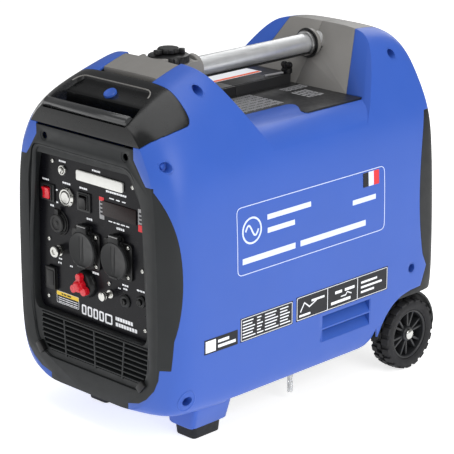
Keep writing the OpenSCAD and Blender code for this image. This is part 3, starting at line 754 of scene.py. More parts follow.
cap = {"x": 0, "y": -113, "ribs": 24}
capSkin = turned("fuel_cap", (cap["x"], cap["y"], 0), [
    (24.2, 478.8), (26.5, 478.8), (28, 480.2), (28, 486.2), (27, 488.4), (24, 489.6), (16, 490.4), (4.6, 490.4),
    (4.6, 487), (24.2, 487), (24.2, 478.8)], "Z", 96)
for index in range(cap["ribs"]):
    angle = 2 * math.pi * index / cap["ribs"]
    dent = drum("dent", (29.4 * math.cos(angle), cap["y"] + 29.4 * math.sin(angle), 484), 2.4, 8, "Z", 12)
    combine(capSkin, dent)
grab = softened(block("grab", (-6, 12.5, 489), (6, 22, 496.5)), 1.6, 2, 50)
shifted(spun(grab, 45, "Z", (0, 0, 0)), (cap["x"], cap["y"], 0))
combine(capSkin, grab, "UNION")
finished(smoothed(capSkin, 40), "fuel_cap", knobPlastic, "knob_plastic", "fuel_cap")

ventKnob = turned("vent_lever", (cap["x"], cap["y"], 0), [
    (0, 491), (13.6, 491), (15, 492), (15, 496), (13.2, 497.8), (6, 498), (0, 498)], "Z", 64)
lever = prism("lever", rounded([(-4.6, -24), (4.6, -24), (6.5, -2), (-6.5, -2)], 3), 491.2, 496.8, "Z")
shifted(lever, (cap["x"], cap["y"], 0))
combine(ventKnob, lever, "UNION")
for angle in range(0, 360, 30):
    turn = math.radians(angle + 15)
    combine(ventKnob, drum("grip_dent", (15.8 * math.cos(turn), cap["y"] + 15.8 * math.sin(turn), 495), 1.8, 9,
                           "Z", 12))
combine(ventKnob, drum("vent_stem", (cap["x"], cap["y"], 489), 4, 5, "Z", 32), "UNION")
finished(softened(ventKnob, 0.5, 2, 45), "vent_lever", knobPlastic, "knob_plastic", "vent_lever")


# thumb knob of the service cover

base = deck["raisedTop"] + 0.5
thumb = turned("cover_knob", (knobSpot.x, knobSpot.y, base), [
    (0, -8), (3.6, -8), (3.6, 0), (8, 0), (8, 5.2), (7, 6.6), (0, 6.6)], "Z", 40)
for lift in (-4.6, 4.6):
    wing = drum("wing", (knobSpot.x + lift, knobSpot.y, base + 11), 5, 5, "Y", 32)
    combine(thumb, softened(wing, 1, 2, 50), "UNION")
combine(thumb, drum("hub", (knobSpot.x, knobSpot.y, base + 8), 4, 7, "Z", 24), "UNION")
finished(smoothed(thumb, 35), "cover_knob", knobPlastic, "knob_plastic", "cover_knob")
strapPath = [(knobSpot.x - 5, knobSpot.y - 40, base + 0.6), (knobSpot.x - 1, knobSpot.y - 24, base + 1.4),
             (knobSpot.x + 1, knobSpot.y - 12, base + 1.8), (knobSpot.x + 1, knobSpot.y - 9.5, base + 1.2)]
finished(smoothed(wire("cover_strap", strapPath, 1.6)), "housing", labelSilver, "deck_plastic")


# pull-out handle

handle = {
    "scoopPlan": [(-70, -205), (70, -205), (81, -250), (81, -275), (-81, -275), (-81, -250)],
    "scoopSide": [(-250.5, 480), (-250.5, 424), (-244, 417), (-233, 416), (-227, 421), (-226, 446.6),
                  (-224, 448.6), (-208, 456.6), (-204.5, 462), (-203, 480)],
    "barRadius": 7,
    "barHalf": 79.4,
    "button": (0, -216, 452),
    "buttonTilt": -28,
}
grip = copied(form, "handle_grip")
combine(grip, handleTool(-0.5), "INTERSECT")
scoop = prism("scoop", rounded(handle["scoopSide"], 4), -90, 90, "X")
plan = prism("scoop_plan", rounded(handle["scoopPlan"], 11, 8), 400, 500, "Z")
combine(scoop, plan, "INTERSECT")
combine(grip, block("lip_notch", (-79.6, -281, 430.6), (79.6, -249.2, 471)))
combine(grip, scoop)
hole = drum("button_hole", handle["button"], 9.3, 18, "Z", 48)
combine(grip, spun(hole, handle["buttonTilt"], "X", handle["button"]))
for sign in (1, -1):
    rod = drum("rod_way", (sign * 92, -200, 430), 7.05, 120, "Y", 32)
    combine(grip, spun(rod, -18, "X", (sign * 92, -200, 430)))
softened(grip, 0.9, 3, 32)
finished(grip, "handle", handlePlastic, "grip_plastic", "handle_grip")

thick, half = handle["barRadius"], handle["barHalf"]
bar = turned("handle_lip_bar", (0, -256.6, 436.6), [
    (0, -half), (thick - 1, -half), (thick, -half + 1.2), (thick, half - 1.2), (thick - 1, half), (0, half)],
    "X", 48)
# the lip bar is black grip plastic; its lighter grey colour is a painted highlight
finished(smoothed(bar, 40), "handle", gripGlossPaintedHighlight, "grip_plastic")

# painted highlight: a light grey line follows the rim of the scoop on the grip's own surface
rim = []
for x, y in rounded([(-79.5, -250), (-69.5, -205.5), (69.5, -205.5), (79.5, -250)], 13, 8)[9:-9]:
    hit, place, _, _ = form.ray_cast(Vector((x * mm, y * mm, 0.6)), Vector((0, 0, -1)))
    rim.append((x, y, place.z / mm))
finished(smoothed(wire("scoop_rim_painted_highlight", rim, 0.9)), "handle", greyPlastic, "grip_plastic")
button = turned("release_button", (0, 0, 0), [(0, -4), (8.6, -4), (9, -3.4), (9, 3), (8.4, 3.8), (0, 4)],
                "Z", 48)
combine(button, turned("button_dish", (0, 0, 0), [(0, 3.2), (5.5, 3.6), (7, 4.4), (0, 5.4)], "Z", 48))
spun(shifted(button, handle["button"]), handle["buttonTilt"], "X", handle["button"])
finished(smoothed(button, 40), "release_button", bluePlastic, "blue_plastic", "release_button")


# front bezel

print("bezels")
bezel = {"front": -264, "panelFace": -250, "bead": 3.4, "slatPitch": 6.9, "slatCount": 8,
         "screws": ((-78.4, 392), (78.4, 392.5))}


def panelOutline(grow):
    return [(-101 - grow, 366 + grow), (74 + grow, 366 + grow), (95 + grow, 330), (103 + grow, 156),
            (98 + grow, 146 - grow), (-106 - grow, 146 - grow), (-112 - grow, 156), (-109 - grow, 330)]


grilleOutline = [(-96, 141), (116, 141), (118, 128), (116, 112), (108, 98), (98, 91), (-80, 91), (-90, 97),
                 (-94, 106), (-97, 122)]
frontBezel = copied(solid, "front_bezel")
combine(frontBezel, frontTool(), "INTERSECT")
stepOutline = [(-104, 379), (88, 379), (106, 338), (115, 250), (118, 156), (115, 108), (102, 82), (-86, 82),
               (-106, 100), (-116, 156), (-114, 330)]
stepFloor = rounded([(x * 1.02, z * 1.01 - 2) for x, z in stepOutline], 12)
combine(frontBezel, prism("step_floor", stepFloor, -261.2, -257), "UNION")
combine(frontBezel, prism("panel_tray", rounded(panelOutline(6), 8), -261, -246.6), "UNION")
combine(frontBezel, prism("panel_opening", rounded(panelOutline(0), 7), -300, -244))
# the opening flares towards the front on the right and at the top
flare = [(-101, 366), (82, 369), (104, 331), (112, 156), (106, 145), (-106, 146), (-112, 156), (-109, 330)]
flareRings = []
for outline, y in ((panelOutline(0), -249.5), (flare, -261.5), (flare, -270)):
    flareRings.append([(px, y, pz) for px, pz in rounded(outline, 7)])
combine(frontBezel, loft("flare", flareRings))
# a shallow step round the panel and the grille
combine(frontBezel, prism("inner_step", rounded(stepOutline, 12), -300, -260.6))
combine(frontBezel, prism("grille_opening", rounded(grilleOutline, 3), -300, -240))
for x, z in bezel["screws"]:
    combine(frontBezel, drum("bezel_well", (x, -262, z), 4.8, 24, "Y", 32))
    dish = [(0, -268), (7.4, -268), (7.4, -263.4), (0, -262.2)]
    combine(frontBezel, turned("bezel_dish", (x, 0, z), dish, "Y", 40))
combine(frontBezel, block("handle_clear", (-200, -300, 405), (200, -100, 520)))
finished(softened(frontBezel, 0.8, 2, 34), "housing", darkPlastic, "dark_plastic", "front_bezel")

slats = []
for index in range(bezel["slatCount"]):
    z = 94.5 + index * bezel["slatPitch"]
    narrowing = {0: (-82, 99), 1: (-90, 106), 2: (-94, 112)}.get(index, (-96.5, 117))
    blade = [(-262.8, z - 1.7), (-262.8, z + 0.3), (-255, z + 3.4), (-255, z + 1.4)]
    slats.append(prism("slat", blade, narrowing[0], narrowing[1], "X"))
for x, lean in ((-50, 3), (10, 1.5), (69, -5)):
    slats.append(prism("rib", [(x - 1.4 + lean, 90), (x + 1.4 + lean, 90), (x + 1.4, 142), (x - 1.4, 142)],
                       -263, -254.6))
finished(softened(joined("grille_slats", slats), 0.35, 1, 50), "housing", darkPlastic, "dark_plastic")
grilleBack = prism("grille_back", rounded([(x * 1.01, z) for x, z in grilleOutline], 3), -249, -247.4)
finished(softened(grilleBack, 0.3, 1), "housing", knobPlastic, "dark_plastic")

beadPath = [(-102, 378), (86, 378), (107, 340), (115, 250), (118, 156), (115, 108), (103, 84), (88, 79),
            (-80, 78), (-100, 90), (-112, 112), (-117, 156), (-113, 255), (-104, 340)]
bead = [(x, bezel["front"] + 3.4, z) for x, z in rounded(beadPath, 16, 6)]
finished(smoothed(wire("bezel_bead", bead, bezel["bead"], closed=True)), "housing", darkPlastic, "dark_plastic")
clips = []
for x, z, turn in ((-96, 93, 38), (104, 91, -40)):
    clip = block("clip", (x - 5, -268.6, z - 8), (x + 5, -260, z + 8))
    softened(clip, 1.4, 2, 50)
    clips.append(spun(clip, turn, "Y", (x, -264, z)))
finished(smoothed(joined("bead_clips", clips)), "housing", knobPlastic, "dark_plastic")
bezelScrews = []
for x, z in bezel["screws"]:
    bezelScrews.append(turned("screw", (x, 0, z), [(0, -256), (3, -256), (3.6, -257), (2.6, -258.6), (1.2, -258.9),
                                                 (1.2, -257.6), (0, -257.6)], "Y", 24))
finished(smoothed(joined("bezel_screws", bezelScrews), 40), "housing", plainSteel, "plain_steel")


# rear bezel

rear = {"slots": 12, "firstSlot": 160, "slotPitch": 15, "exhaust": (78, 236)}
rearBezel = copied(solid, "rear_bezel")
combine(rearBezel, prism("rear_zone", [(y + 0.4, z) for y, z in rearOutline()], -210, 210, "X"), "INTERSECT")
combine(rearBezel, block("rear_floor", (-300, 60, 0), (300, 300, 112)))
for index in range(rear["slots"]):
    z = rear["firstSlot"] + index * rear["slotPitch"]
    slot = rounded([(-104, z), (12, z), (12, z + 6), (-104, z + 6)], 3, 4)
    combine(rearBezel, prism("rear_slot", slot, 240, 300))
outX, outZ = rear["exhaust"]
combine(rearBezel, drum("exhaust_way", (outX, 262, outZ), 31, 60, "Y", 64))
finished(softened(rearBezel, 0.8, 2, 36), "housing", darkPlastic, "dark_plastic", "rear_bezel")
blades = []
for index in range(rear["slots"]):
    z = rear["firstSlot"] + index * rear["slotPitch"]
    blades.append(prism("blade", [(264.6, z - 1), (264.6, z + 1), (256, z + 8), (256, z + 6)], -104, 12, "X"))
finished(softened(joined("rear_louvre_blades", blades), 0.4, 1, 50), "housing", darkPlastic, "dark_plastic")
shroud = turned("exhaust_ring", (outX, 0, outZ), [
    (22, 244), (22, 268), (24, 270), (28.5, 270), (31.5, 267.5), (31.5, 262), (28, 261), (27, 244), (22, 244)],
    "Y", 72)
finished(smoothed(shroud, 40), "housing", plainSteel, "plain_steel")
mesh = []
for step in range(-3, 4):
    along = step * 5.6
    reach = math.sqrt(22 ** 2 - along ** 2)
    mesh.append(block("bar", (outX - reach, 262, outZ + along - 0.9), (outX + reach, 264, outZ + along + 0.9)))
    mesh.append(block("bar", (outX + along - 0.9, 260.4, outZ - reach),
                      (outX + along + 0.9, 262.4, outZ + reach)))
finished(softened(joined("exhaust_screen", mesh), 0.3, 1, 50), "housing", plainSteel, "plain_steel")


# feet, brackets, axle caps

wheel = {"y": 205.3, "z": 52.7, "middle": 149.5, "blocks": 20, "spokes": 6}

print("wheels and feet")
# the pan under the machine, narrowed between the wheels
panPlan = [(-130, -226), (130, -226), (130, 126), (112, 138), (112, 258), (-112, 258), (-112, 138), (-130, 126)]
pan = prism("base_tray", rounded(panPlan, 8), 50, 112, "Z")
combine(pan, prism("pan_hollow", rounded([(x * 0.976, y * 0.986) for x, y in panPlan], 8), 53.2, 130, "Z"))
for index in range(7):
    combine(pan, block("vent", (-70 + index * 20, -60, 40), (-60 + index * 20, 30, 60)))
finished(softened(pan, 0.8, 2, 40), "housing", darkPlastic, "dark_plastic", "base_tray")

feet = []
for x in (-66, 108):
    outer = [(-21, -196), (21, -196), (21, -140), (-21, -140)]
    lower = [(-18, -192), (18, -192), (18, -144), (-18, -144)]
    rings = []
    for outline, z in ((lower, 0), (lower, 2), (outer, 46), (outer, 50)):
        rings.append([(px * (0.96 if z == 0 else 1) + x, py, z) for px, py in rounded(outline, 6, 4)])
    feet.append(loft("foot", rings))
finished(softened(joined("front_feet", feet), 1.2, 2, 30), "housing", footRubber, "foot_rubber", "front_feet")

brackets = []
for sign in (1, -1):
    inner, outer = sorted((sign * 118, sign * 126))
    outline = [(90, 55.5), (111, 55.5), (134, 66), (190, 40), (205, 34), (220, 40), (228, 60), (240, 110),
               (240, 150), (120, 150)]
    brackets.append(prism("bracket", rounded(outline, 5), inner, outer, "X"))
    boss = [(6.2, 126), (16, 126), (15, 131), (6.2, 131), (6.2, 126)]
    brackets.append(turned("boss", (0, wheel["y"], wheel["z"]), [(r, a * sign) for r, a in boss], "X", 40))
    # arch liner over the wheel
    liner = []
    for radius, angles in ((60, range(-4, 176, 9)), (63.5, range(175, -5, -9))):
        for angle in angles:
            turn = math.radians(angle)
            liner.append((wheel["y"] + radius * math.cos(turn), wheel["z"] + radius * math.sin(turn)))
    low, high = sorted((sign * 117, sign * 157))
    brackets.append(prism("arch", liner, low, high, "X"))
finished(softened(joined("wheel_brackets", brackets), 0.8, 2, 40), "housing", darkPlastic, "dark_plastic",
         "wheel_brackets")
wellWall = []
for sign in (1, -1):
    low, high = sorted((sign * 116, sign * 119))
    outline = [(120, 62), (160, 115), (250, 150), (262, 112), (262, 60), (230, 60)]
    wellWall.append(prism("well_wall", outline, low, high, "X"))
finished(softened(joined("well_walls", wellWall), 0.5, 1, 40), "housing", darkPlastic, "dark_plastic")

caps = []
for sign in (1, -1):
    caps.append(turned("axle_cap", (0, wheel["y"], wheel["z"]), [
        (0, sign * 162), (7.4, sign * 162), (7.4, sign * 164.4), (5.8, sign * 165.7), (0, sign * 166)], "X", 40))
finished(smoothed(joined("axle_caps", caps), 40), "housing", brightSteel, "rod_steel", "axle_caps")


# wheels: tyre with tread blocks, rim with paired spokes

def tyre(sign, name):
    centre = (sign * wheel["middle"], wheel["y"], wheel["z"])
    # flanks, shoulders and a grooved crown
    profile = [(36.5, -14), (38.5, -15.5), (44, -16.2), (47.6, -15.4), (49.4, -13.4), (49.8, -4.2), (48.2, -3.4),
               (48.2, 3.4), (49.8, 4.2), (49.4, 13.4), (47.6, 15.4), (44, 16.2), (38.5, 15.5), (36.5, 14),
               (36.5, -14)]
    carcass = turned(name, (0, 0, 0), profile, "X", 120)
    lugs = []
    for row, (low, high, offset) in enumerate(((-15.6, -4.6, 0), (-3, 3, 0.5), (4.6, 15.6, 0))):
        for index in range(wheel["blocks"]):
            angle = 2 * math.pi * (index + offset) / wheel["blocks"]
            span = 2 * math.pi * 49 / wheel["blocks"] * 0.36
            lug = prism("lug", [(-span, 47.2), (span, 47.2), (span * 0.86, 52.5), (-span * 0.86, 52.5)],
                        low, high, "X")
            if row != 1:
                edge = low if row == 0 else high
                for vertex in lug.data.vertices:
                    if vertex.co.z > 50 * mm and abs(vertex.co.x - edge * mm) < 0.5 * mm:
                        vertex.co.z -= 1.6 * mm
            for vertex in lug.data.vertices:
                y, z = vertex.co.y, vertex.co.z
                vertex.co.y = y * math.cos(angle) - z * math.sin(angle)
                vertex.co.z = y * math.sin(angle) + z * math.cos(angle)
            lugs.append(lug)
    tread = softened(joined("lugs", lugs), 0.5, 1, 40)
    return shifted(smoothed(joined(name, [carcass, tread]), 35), centre)


def rim(sign, name):
    centre = (sign * wheel["middle"], wheel["y"], wheel["z"])
    parts = [turned(name, (0, 0, 0), [(32.6, -12), (36.9, -12.5), (36.9, 12.5), (35.4, 13.8), (34.2, 13.8),
                                      (32.6, 12.4), (32.6, -12)], "X", 96)]
    hub = [(6.1, -14.5), (11, -14.5), (11.5, 8), (10.4, 11.4), (9, 12.4), (6.1, 12.4), (6.1, -14.5)]
    parts.append(turned("hub", (0, 0, 0), [(r, a * sign) for r, a in hub], "X", 48))
    web = [(10.8, -2.4), (33, -2.4), (33, -5), (10.8, -5), (10.8, -2.4)]
    parts.append(turned("web", (0, 0, 0), [(r, a * sign) for r, a in web], "X", 64))
    for index in range(wheel["spokes"]):
        for lean in (-1, 1):
            spoke = prism("spoke", [(lean * 1.2 - 1.7, 10), (lean * 1.2 + 1.7, 10), (lean * 6.8 + 1.6, 34),
                                    (lean * 6.8 - 1.6, 34)], -4, 9.5, "X")
            if sign < 0:
                for vertex in spoke.data.vertices:
                    vertex.co.x = -vertex.co.x
                tidyNormals(spoke)
            spun(spoke, index * 360 / wheel["spokes"] + 12, "X", (0, 0, 0))
            parts.append(spoke)
    return shifted(softened(joined(name, parts), 0.5, 2, 40), centre)


for sign, hand in ((1, "right"), (-1, "left")):
    finished(tyre(sign, hand + "_tyre"), hand + "_wheel", tyreRubber, "tyre_rubber", hand + "_tyre")
    finished(rim(sign, hand + "_wheel_rim"), hand + "_wheel", rimPlastic, "rim_plastic", hand + "_wheel")

drain = turned("drain_tube", (120, 0, 0), [(2.6, 12), (4, 12), (4, 64), (2.6, 64), (2.6, 12)], "Z", 32)
clearTube, nodes, links, shader = newMaterial("clear_tube")
haze = noiseAt(nodes, links, nodes.new("ShaderNodeTexCoord"), 6, 3)
links.new(spread(nodes, links, haze.outputs["Fac"], 0.18, 0.4), shader.inputs["Roughness"])
shader.inputs["Base Color"].default_value = (0.86, 0.87, 0.88, 1)
shader.inputs["Transmission Weight"].default_value = 0.7
shader.inputs["IOR"].default_value = 1.45
finished(smoothed(drain, 40), "housing", clearTube, "clear_tube", "drain_tube")


# control panel and what sits on it

print("control panel")
face = bezel["panelFace"]


def disc(name, x, z, profile, sides=48):
    # a lathe shape on the panel: (radius, how far it stands out)
    return turned(name, (x, 0, z), [(r, face - out) for r, out in profile], "Y", sides)


def plate(name, x, z, width, height, low, high, corner=0):
    # a plate on the panel, low and high being how far it stands out
    outline = [(x - width / 2, z - height / 2), (x + width / 2, z - height / 2), (x + width / 2, z + height / 2),
               (x - width / 2, z + height / 2)]
    return prism(name, rounded(outline, corner) if corner else outline, face - high, face - low)


controls = {
    "light": (-58.5, 346), "start": (-50, 311), "main": (-90, 310), "eco": (-17, 311), "lens": (15, 346),
    "display": (51, 311), "dc": (-67, 272), "mains": [(-13, 248), (49, 248)], "spool": (-66, 234),
    "usb": (-85, 191), "knob": (-15, 199), "ground": (31, 196), "acReset": (60, 193), "dcReset": (90, 200),
    "screws": [(-79, 355), (77, 350), (-90, 245), (93, 242), (-94, 163), (97, 162), (29, 210)],
}
front = prism("control_panel", rounded(panelOutline(-0.4), 7), face, face + 3)
for key, size in (("light", 6.6), ("start", 11.4), ("dc", 11.4), ("acReset", 7.4), ("dcReset", 6.4),
                  ("ground", 3.3), ("spool", 3.3), ("knob", 5.4)):
    combine(front, drum("hole", (controls[key][0], face, controls[key][1]), size, 20, "Y"))
for x, z in controls["mains"]:
    combine(front, drum("hole", (x, face, z), 22.5, 20, "Y"))
for key, width, height in (("main", 20.6, 20.6), ("eco", 20.6, 20.6), ("usb", 16.6, 26.6)):
    combine(front, plate("hole", *controls[key], width, height, -10, 10))
finished(softened(front, 0.3, 1), "housing", paintedPanel, "gloss_panel", "control_panel")

# light bar and display
x, z = controls["lens"]
finished(softened(plate("led_lens", x, z, 90, 14, -0.2, 3, 3), 0.9, 3), "housing", lampLens, "lamp_lens",
         "led_lens")
x, z = controls["display"]
finished(softened(plate("display_window", x, z, 64, 20, -0.2, 1.2, 1), 0.3), "housing", displayGlass,
         "display_glass", "display_window")

# bright rings round the two push buttons, and the buttons
x, z = controls["light"]
rings = [disc("ring", x, z, [(4.4, -4), (4.4, 2), (5.2, 3), (6.4, 3), (7.2, 1.4), (7.2, 0), (6.2, 0), (6.2, -4),
                             (4.4, -4)])]
x, z = controls["start"]
rings.append(disc("ring", x, z, [(8.5, -6), (8.5, 2.4), (9.2, 5), (11, 5.4), (13.2, 2.6), (13.2, 0), (11, 0),
                                 (11, -6), (8.5, -6)]))
for index in range(8):
    turn = math.radians(22.5 + index * 45)
    notch = drum("notch", (x + 12.6 * math.cos(turn), face - 4.5, z + 12.6 * math.sin(turn)), 1.3, 6, "Y", 16)
    combine(rings[1], notch)
finished(smoothed(joined("push_rings", rings), 30), "housing", brightSteel, "plain_steel")
for key, radius, top in (("light", 4.1, 5), ("start", 8, 6)):
    x, z = controls[key]
    pressed = disc("button", x, z, [(0, -3), (radius, -3), (radius, top - 0.8), (radius - 1, top),
                                    (radius * 0.55, top - 0.5), (0, top - 0.9)])
    finished(smoothed(pressed, 35), key + "_button", brightSteel, "button_chrome", key + "_button")

# switch frames: two rocker frames and the collars of the reset buttons
frames = []
for key, width, height in (("main", 28, 24), ("eco", 26, 26)):
    x, z = controls[key]
    switchFrame = softened(plate("switch_frame", x, z, width, height, -0.2, 2.2, 1.5), 0.6, 2)
    combine(switchFrame, plate("hole", x, z, 14.2, 18.4, -5, 5))
    shroud = plate("shroud", x, z, 19, 21, 2, 3.4, 1)
    combine(shroud, plate("hole", x, z, 14.2, 18.4, -5, 5))
    sleeve = plate("sleeve", x, z, 20, 20, -16, 0)
    combine(sleeve, plate("hole", x, z, 14.2, 18.4, -14, 5))
    frames += [switchFrame, softened(shroud, 0.5, 2), sleeve]
for key, radius in (("acReset", 9), ("dcReset", 8)):
    x, z = controls[key]
    frames.append(disc("collar", x, z, [(4.5, -10), (4.5, 3.2), (radius - 2, 3.2), (radius, 1.8), (radius, 0),
                                        (radius - 2, 0), (radius - 2, -10), (4.5, -10)]))
finished(smoothed(joined("switch_frames", frames), 35), "housing", housingPlastic, "housing_plastic",
         "switch_housings")


def rocker(name, x, z):
    # a curved rocker that leans on its pivot
    lean = math.radians(8)
    outline = []
    for step in range(13):
        angle = math.radians(-66 + 132 * step / 12)
        outline.append((4.5 + 0.2 - 1.6 * math.cos(angle) ** 2, 8.4 * math.sin(angle)))
    outline = [(-4.3, -6.6)] + outline + [(-4.3, 6.6)]
    turnedOutline = []
    for out, up in outline:
        turnedOutline.append((face - 1.6 - out * math.cos(lean) - up * math.sin(lean),
                              z + up * math.cos(lean) - out * math.sin(lean)))
    return softened(prism(name, turnedOutline, x - 6.4, x + 6.4, "X"), 0.4, 2, 30)


for key, material, slotName in (("main", redPlastic, "red_plastic"), ("eco", knobPlastic, "knob_plastic")):
    finished(rocker(key + "_rocker", *controls[key]), key + "_rocker", material, slotName, key + "_rocker")

for key, name in (("acReset", "ac_reset_button"), ("dcReset", "dc_reset_button")):
    x, z = controls[key]
    press = disc(name, x, z, [(0, -3), (4, -3), (4, 5.2), (3.2, 6), (0, 6)], 36)
    combine(press, plate("slot", x, z, 1, 5.4, 5.3, 8))
    finished(smoothed(press, 35), name, knobPlastic, "knob_plastic", name)

# mains sockets: a plate, the recess with its two bores, and the sprung lid
socket = {"width": 54, "height": 50, "recess": 19.6}
plates = []
for x, z in controls["mains"]:
    base = plate("socket_frame", x, z, socket["width"], socket["height"], -0.2, 3, 6)
    combine(base, disc("rim", x, z, [(0, 2), (24, 2), (24, 6.4), (23.4, 7), (0, 7)], 72), "UNION")
    combine(base, plate("cradle", x, z + 26.5, 23, 12, 0, 7, 2), "UNION")
    combine(base, disc("barrel", x, z, [(0, -38), (21.6, -38), (21.6, 1), (0, 1)], 64), "UNION")
    combine(base, disc("recess", x, z, [(0, -18), (socket["recess"], -18), (socket["recess"], 12), (0, 12)], 72))
    combine(base, plate("hinge_seat", x, z + 32, 26, 10.4, 3.2, 15))
    for hand in (-1, 1):
        combine(base, disc("bore", x + hand * 9.5, z, [(0, -33), (2.6, -33), (2.6, -10), (0, -10)], 24))
    for hand in (-1, 1):
        combine(base, drum("dish", (x + 19.5, face - 5, z + hand * 20), 4.4, 6, "Y", 32))
    plates.append(softened(base, 0.5, 2, 40))
finished(joined("socket_frames", plates), "housing", knobPlastic, "housing_plastic", "socket_frames")
for key, (x, z) in zip(("left_socket_lid", "right_socket_lid"), controls["mains"]):
    lid = disc(key, x, z, [(0, 7.5), (24.6, 7.5), (25, 8), (25, 10.2), (23.6, 11.6), (21.4, 11.2), (21, 11),
                           (0, 11)], 96)
    combine(lid, plate("neck", x, z + 24.5, 18, 13.4, 7.5, 10.8, 1), "UNION")
    combine(lid, drum("hinge", (x, face - 7.4, z + 31), 2.9, 17.6, "X", 40), "UNION")
    for lift in (-1, 1):
        combine(lid, plate("lid_line", x + lift * 3.4, z + 2, 1, 34, 10.7, 12, 0.3))
    combine(lid, plate("pull", x, z - 22.6, 16, 2.4, 9.5, 12, 0.8), "UNION")
    finished(softened(lid, 0.4, 2, 40), key, housingPlastic, "housing_plastic", key)
    # a steel hinge pin; its light line along the top of the hinge is also a painted highlight
    pin = drum(key + "_pin", (x, face - 10, z + 32), 1.1, 17, "X", 20)
    finished(smoothed(pin), key, plainSteel, "housing_plastic")

# direct-current socket and its rubber cap
x, z = controls["dc"]
shape = [(9.1, -26), (9.1, 3), (12.6, 3), (14, 1.6), (14, 0), (11, 0), (11, -26), (9.1, -26)]
finished(smoothed(disc("dc_socket", x, z, shape), 35), "housing", housingPlastic, "housing_plastic", "dc_socket")
lid = disc("dc_socket_cap", x, z, [(0, 3.5), (12.6, 3.5), (13, 4), (13, 6.2), (12, 7.3), (8.8, 7.3), (8.4, 6.4),
                                   (3.4, 6.4), (3, 7), (0, 7)])
combine(lid, plate("strap", x, z + 15, 7, 9, 3.5, 6.8, 0.8), "UNION")
combine(lid, drum("hinge", (x, face - 5.4, z + 19), 1.9, 6.8, "X", 24), "UNION")
finished(softened(lid, 0.3, 2, 40), "dc_socket_cap", knobPlastic, "knob_plastic", "dc_socket_cap")
ring = []
for angle in range(-90, 96, 10):
    turn = math.radians(angle)
    ring.append((x + 16.5 * math.cos(turn), face - 0.9, z + 16.5 * math.sin(turn)))
finished(smoothed(wire("dc_cord_ring", ring, 1)), "housing", knobPlastic, "knob_plastic")

# USB ports and their flap
x, z = controls["usb"]
port = plate("usb_port", x, z, 20, 31, -0.2, 2, 2)
combine(port, plate("box", x, z, 16, 26, -16, 0.5), "UNION")
for lift in (-6, 6):
    combine(port, plate("opening", x, z + lift, 12.6, 5, -11, 9))
finished(softened(port, 0.4, 2), "housing", housingPlastic, "housing_plastic", "usb_port")
flap = plate("usb_cover", x, z, 19, 30, 2.5, 5, 1.6)
combine(flap, plate("swell", x, z + 1, 14, 21, 4.5, 5.8, 2), "UNION")
combine(flap, drum("hinge", (x, face - 4.1, z + 15), 1.65, 18.6, "X", 24), "UNION")
finished(softened(flap, 0.35, 2, 40), "usb_cover", knobPlastic, "knob_plastic", "usb_cover")

# choke and fuel knob on its round base
x, z = controls["knob"]
shape = [(3.2, -13), (3.2, 9), (13, 9), (16, 7.6), (18.2, 4), (19, 2), (19, 0), (5, 0), (5, -13), (3.2, -13)]
finished(smoothed(disc("knob_base", x, z, shape, 72), 35), "housing", knobPlastic, "knob_plastic", "knob_base")
knob = disc("engine_knob", x, z, [(0, 9.8), (8.4, 9.8), (8.4, 17), (0, 17)], 72)
for angle, reach, radius in ((90, 12.6, 4.4), (210, 11.4, 5.4), (330, 11.4, 5.4)):
    turn = math.radians(angle)
    place = (x + reach * math.cos(turn), z + reach * math.sin(turn))
    combine(knob, disc("lobe", *place, [(0, 9.9), (radius, 9.9), (radius, 17.1), (0, 17.1)], 40), "UNION")
    half = radius * 0.86
    arm = prism("arm", [(-half, 0), (half, 0), (half, reach), (-half, reach)], face - 17.05, face - 9.95)
    spun(arm, 90 - angle, "Y", (0, face, 0))
    combine(knob, shifted(arm, (x, 0, z)), "UNION")
combine(knob, disc("crown", x, z, [(0, 16), (7.4, 16), (6.6, 20.4), (5, 21.6), (0, 22)], 48), "UNION")
combine(knob, disc("stem", x, z, [(0, -5.8), (2.9, -5.8), (2.9, 10), (0, 10)], 24), "UNION")
finished(softened(knob, 0.9, 3, 50), "engine_knob", redPlastic, "red_plastic", "engine_knob")

# earth terminal, its nut, and the two-disc post
x, z = controls["ground"]
post = disc("ground_terminal", x, z, [(0, -9.5), (3, -9.5), (3, 0.2), (6, 0.2), (6, 1.8), (5.4, 2.4), (3, 2.4),
                                      (3, 14), (6, 14), (6, 16.4), (5, 17), (0, 17)])
finished(smoothed(post, 35), "housing", brightSteel, "plain_steel", "ground_terminal")
nut = disc("ground_nut", x, z, [(3.1, 8.2), (5, 8.2), (5.5, 8.8), (5.5, 12.2), (5, 12.8), (3.1, 12.8), (3.1, 8.2)])
for index in range(16):
    turn = 2 * math.pi * index / 16
    combine(nut, drum("knurl", (x + 5.9 * math.cos(turn), face - 10.5, z + 5.9 * math.sin(turn)), 0.7, 8, "Y", 8))
finished(smoothed(nut, 35), "ground_nut", brightSteel, "plain_steel", "ground_nut")
x, z = controls["spool"]
post = disc("spool_terminal", x, z, [(0, -9.5), (3, -9.5), (3, 0.2), (7.4, 0.2), (7.4, 4.4), (5.4, 5.2), (5.4, 7.8),
                                     (7.8, 8.6), (7.8, 13), (6.8, 14), (3.8, 14), (3.4, 12.6), (0, 12.6)])
finished(smoothed(post, 35), "housing", brightSteel, "plain_steel", "spool_terminal")

# slotted screws of the panel and of the sockets
heads = []
for x, z in controls["screws"] + [(cx + 19.5, cz + s * 20) for cx, cz in controls["mains"] for s in (-1, 1)]:
    small = (x, z) in controls["screws"]
    out = 0 if small else 2
    dome = [(0, out - 0.2), (2.9, out - 0.2), (2.9, out + 1.2), (1.8, out + 2.1), (0, out + 2.4)]
    head = disc("head", x, z, dome, 28)
    combine(head, plate("slot", x, z, 0.8, 7, out + 1.3, out + 4))
    combine(head, plate("slot", x, z, 7, 0.8, out + 1.3, out + 4))
    heads.append(head)
finished(smoothed(joined("panel_screws", heads), 35), "housing", brightSteel, "plain_steel", "screws")


# raised print on the panel: plain bars instead of words

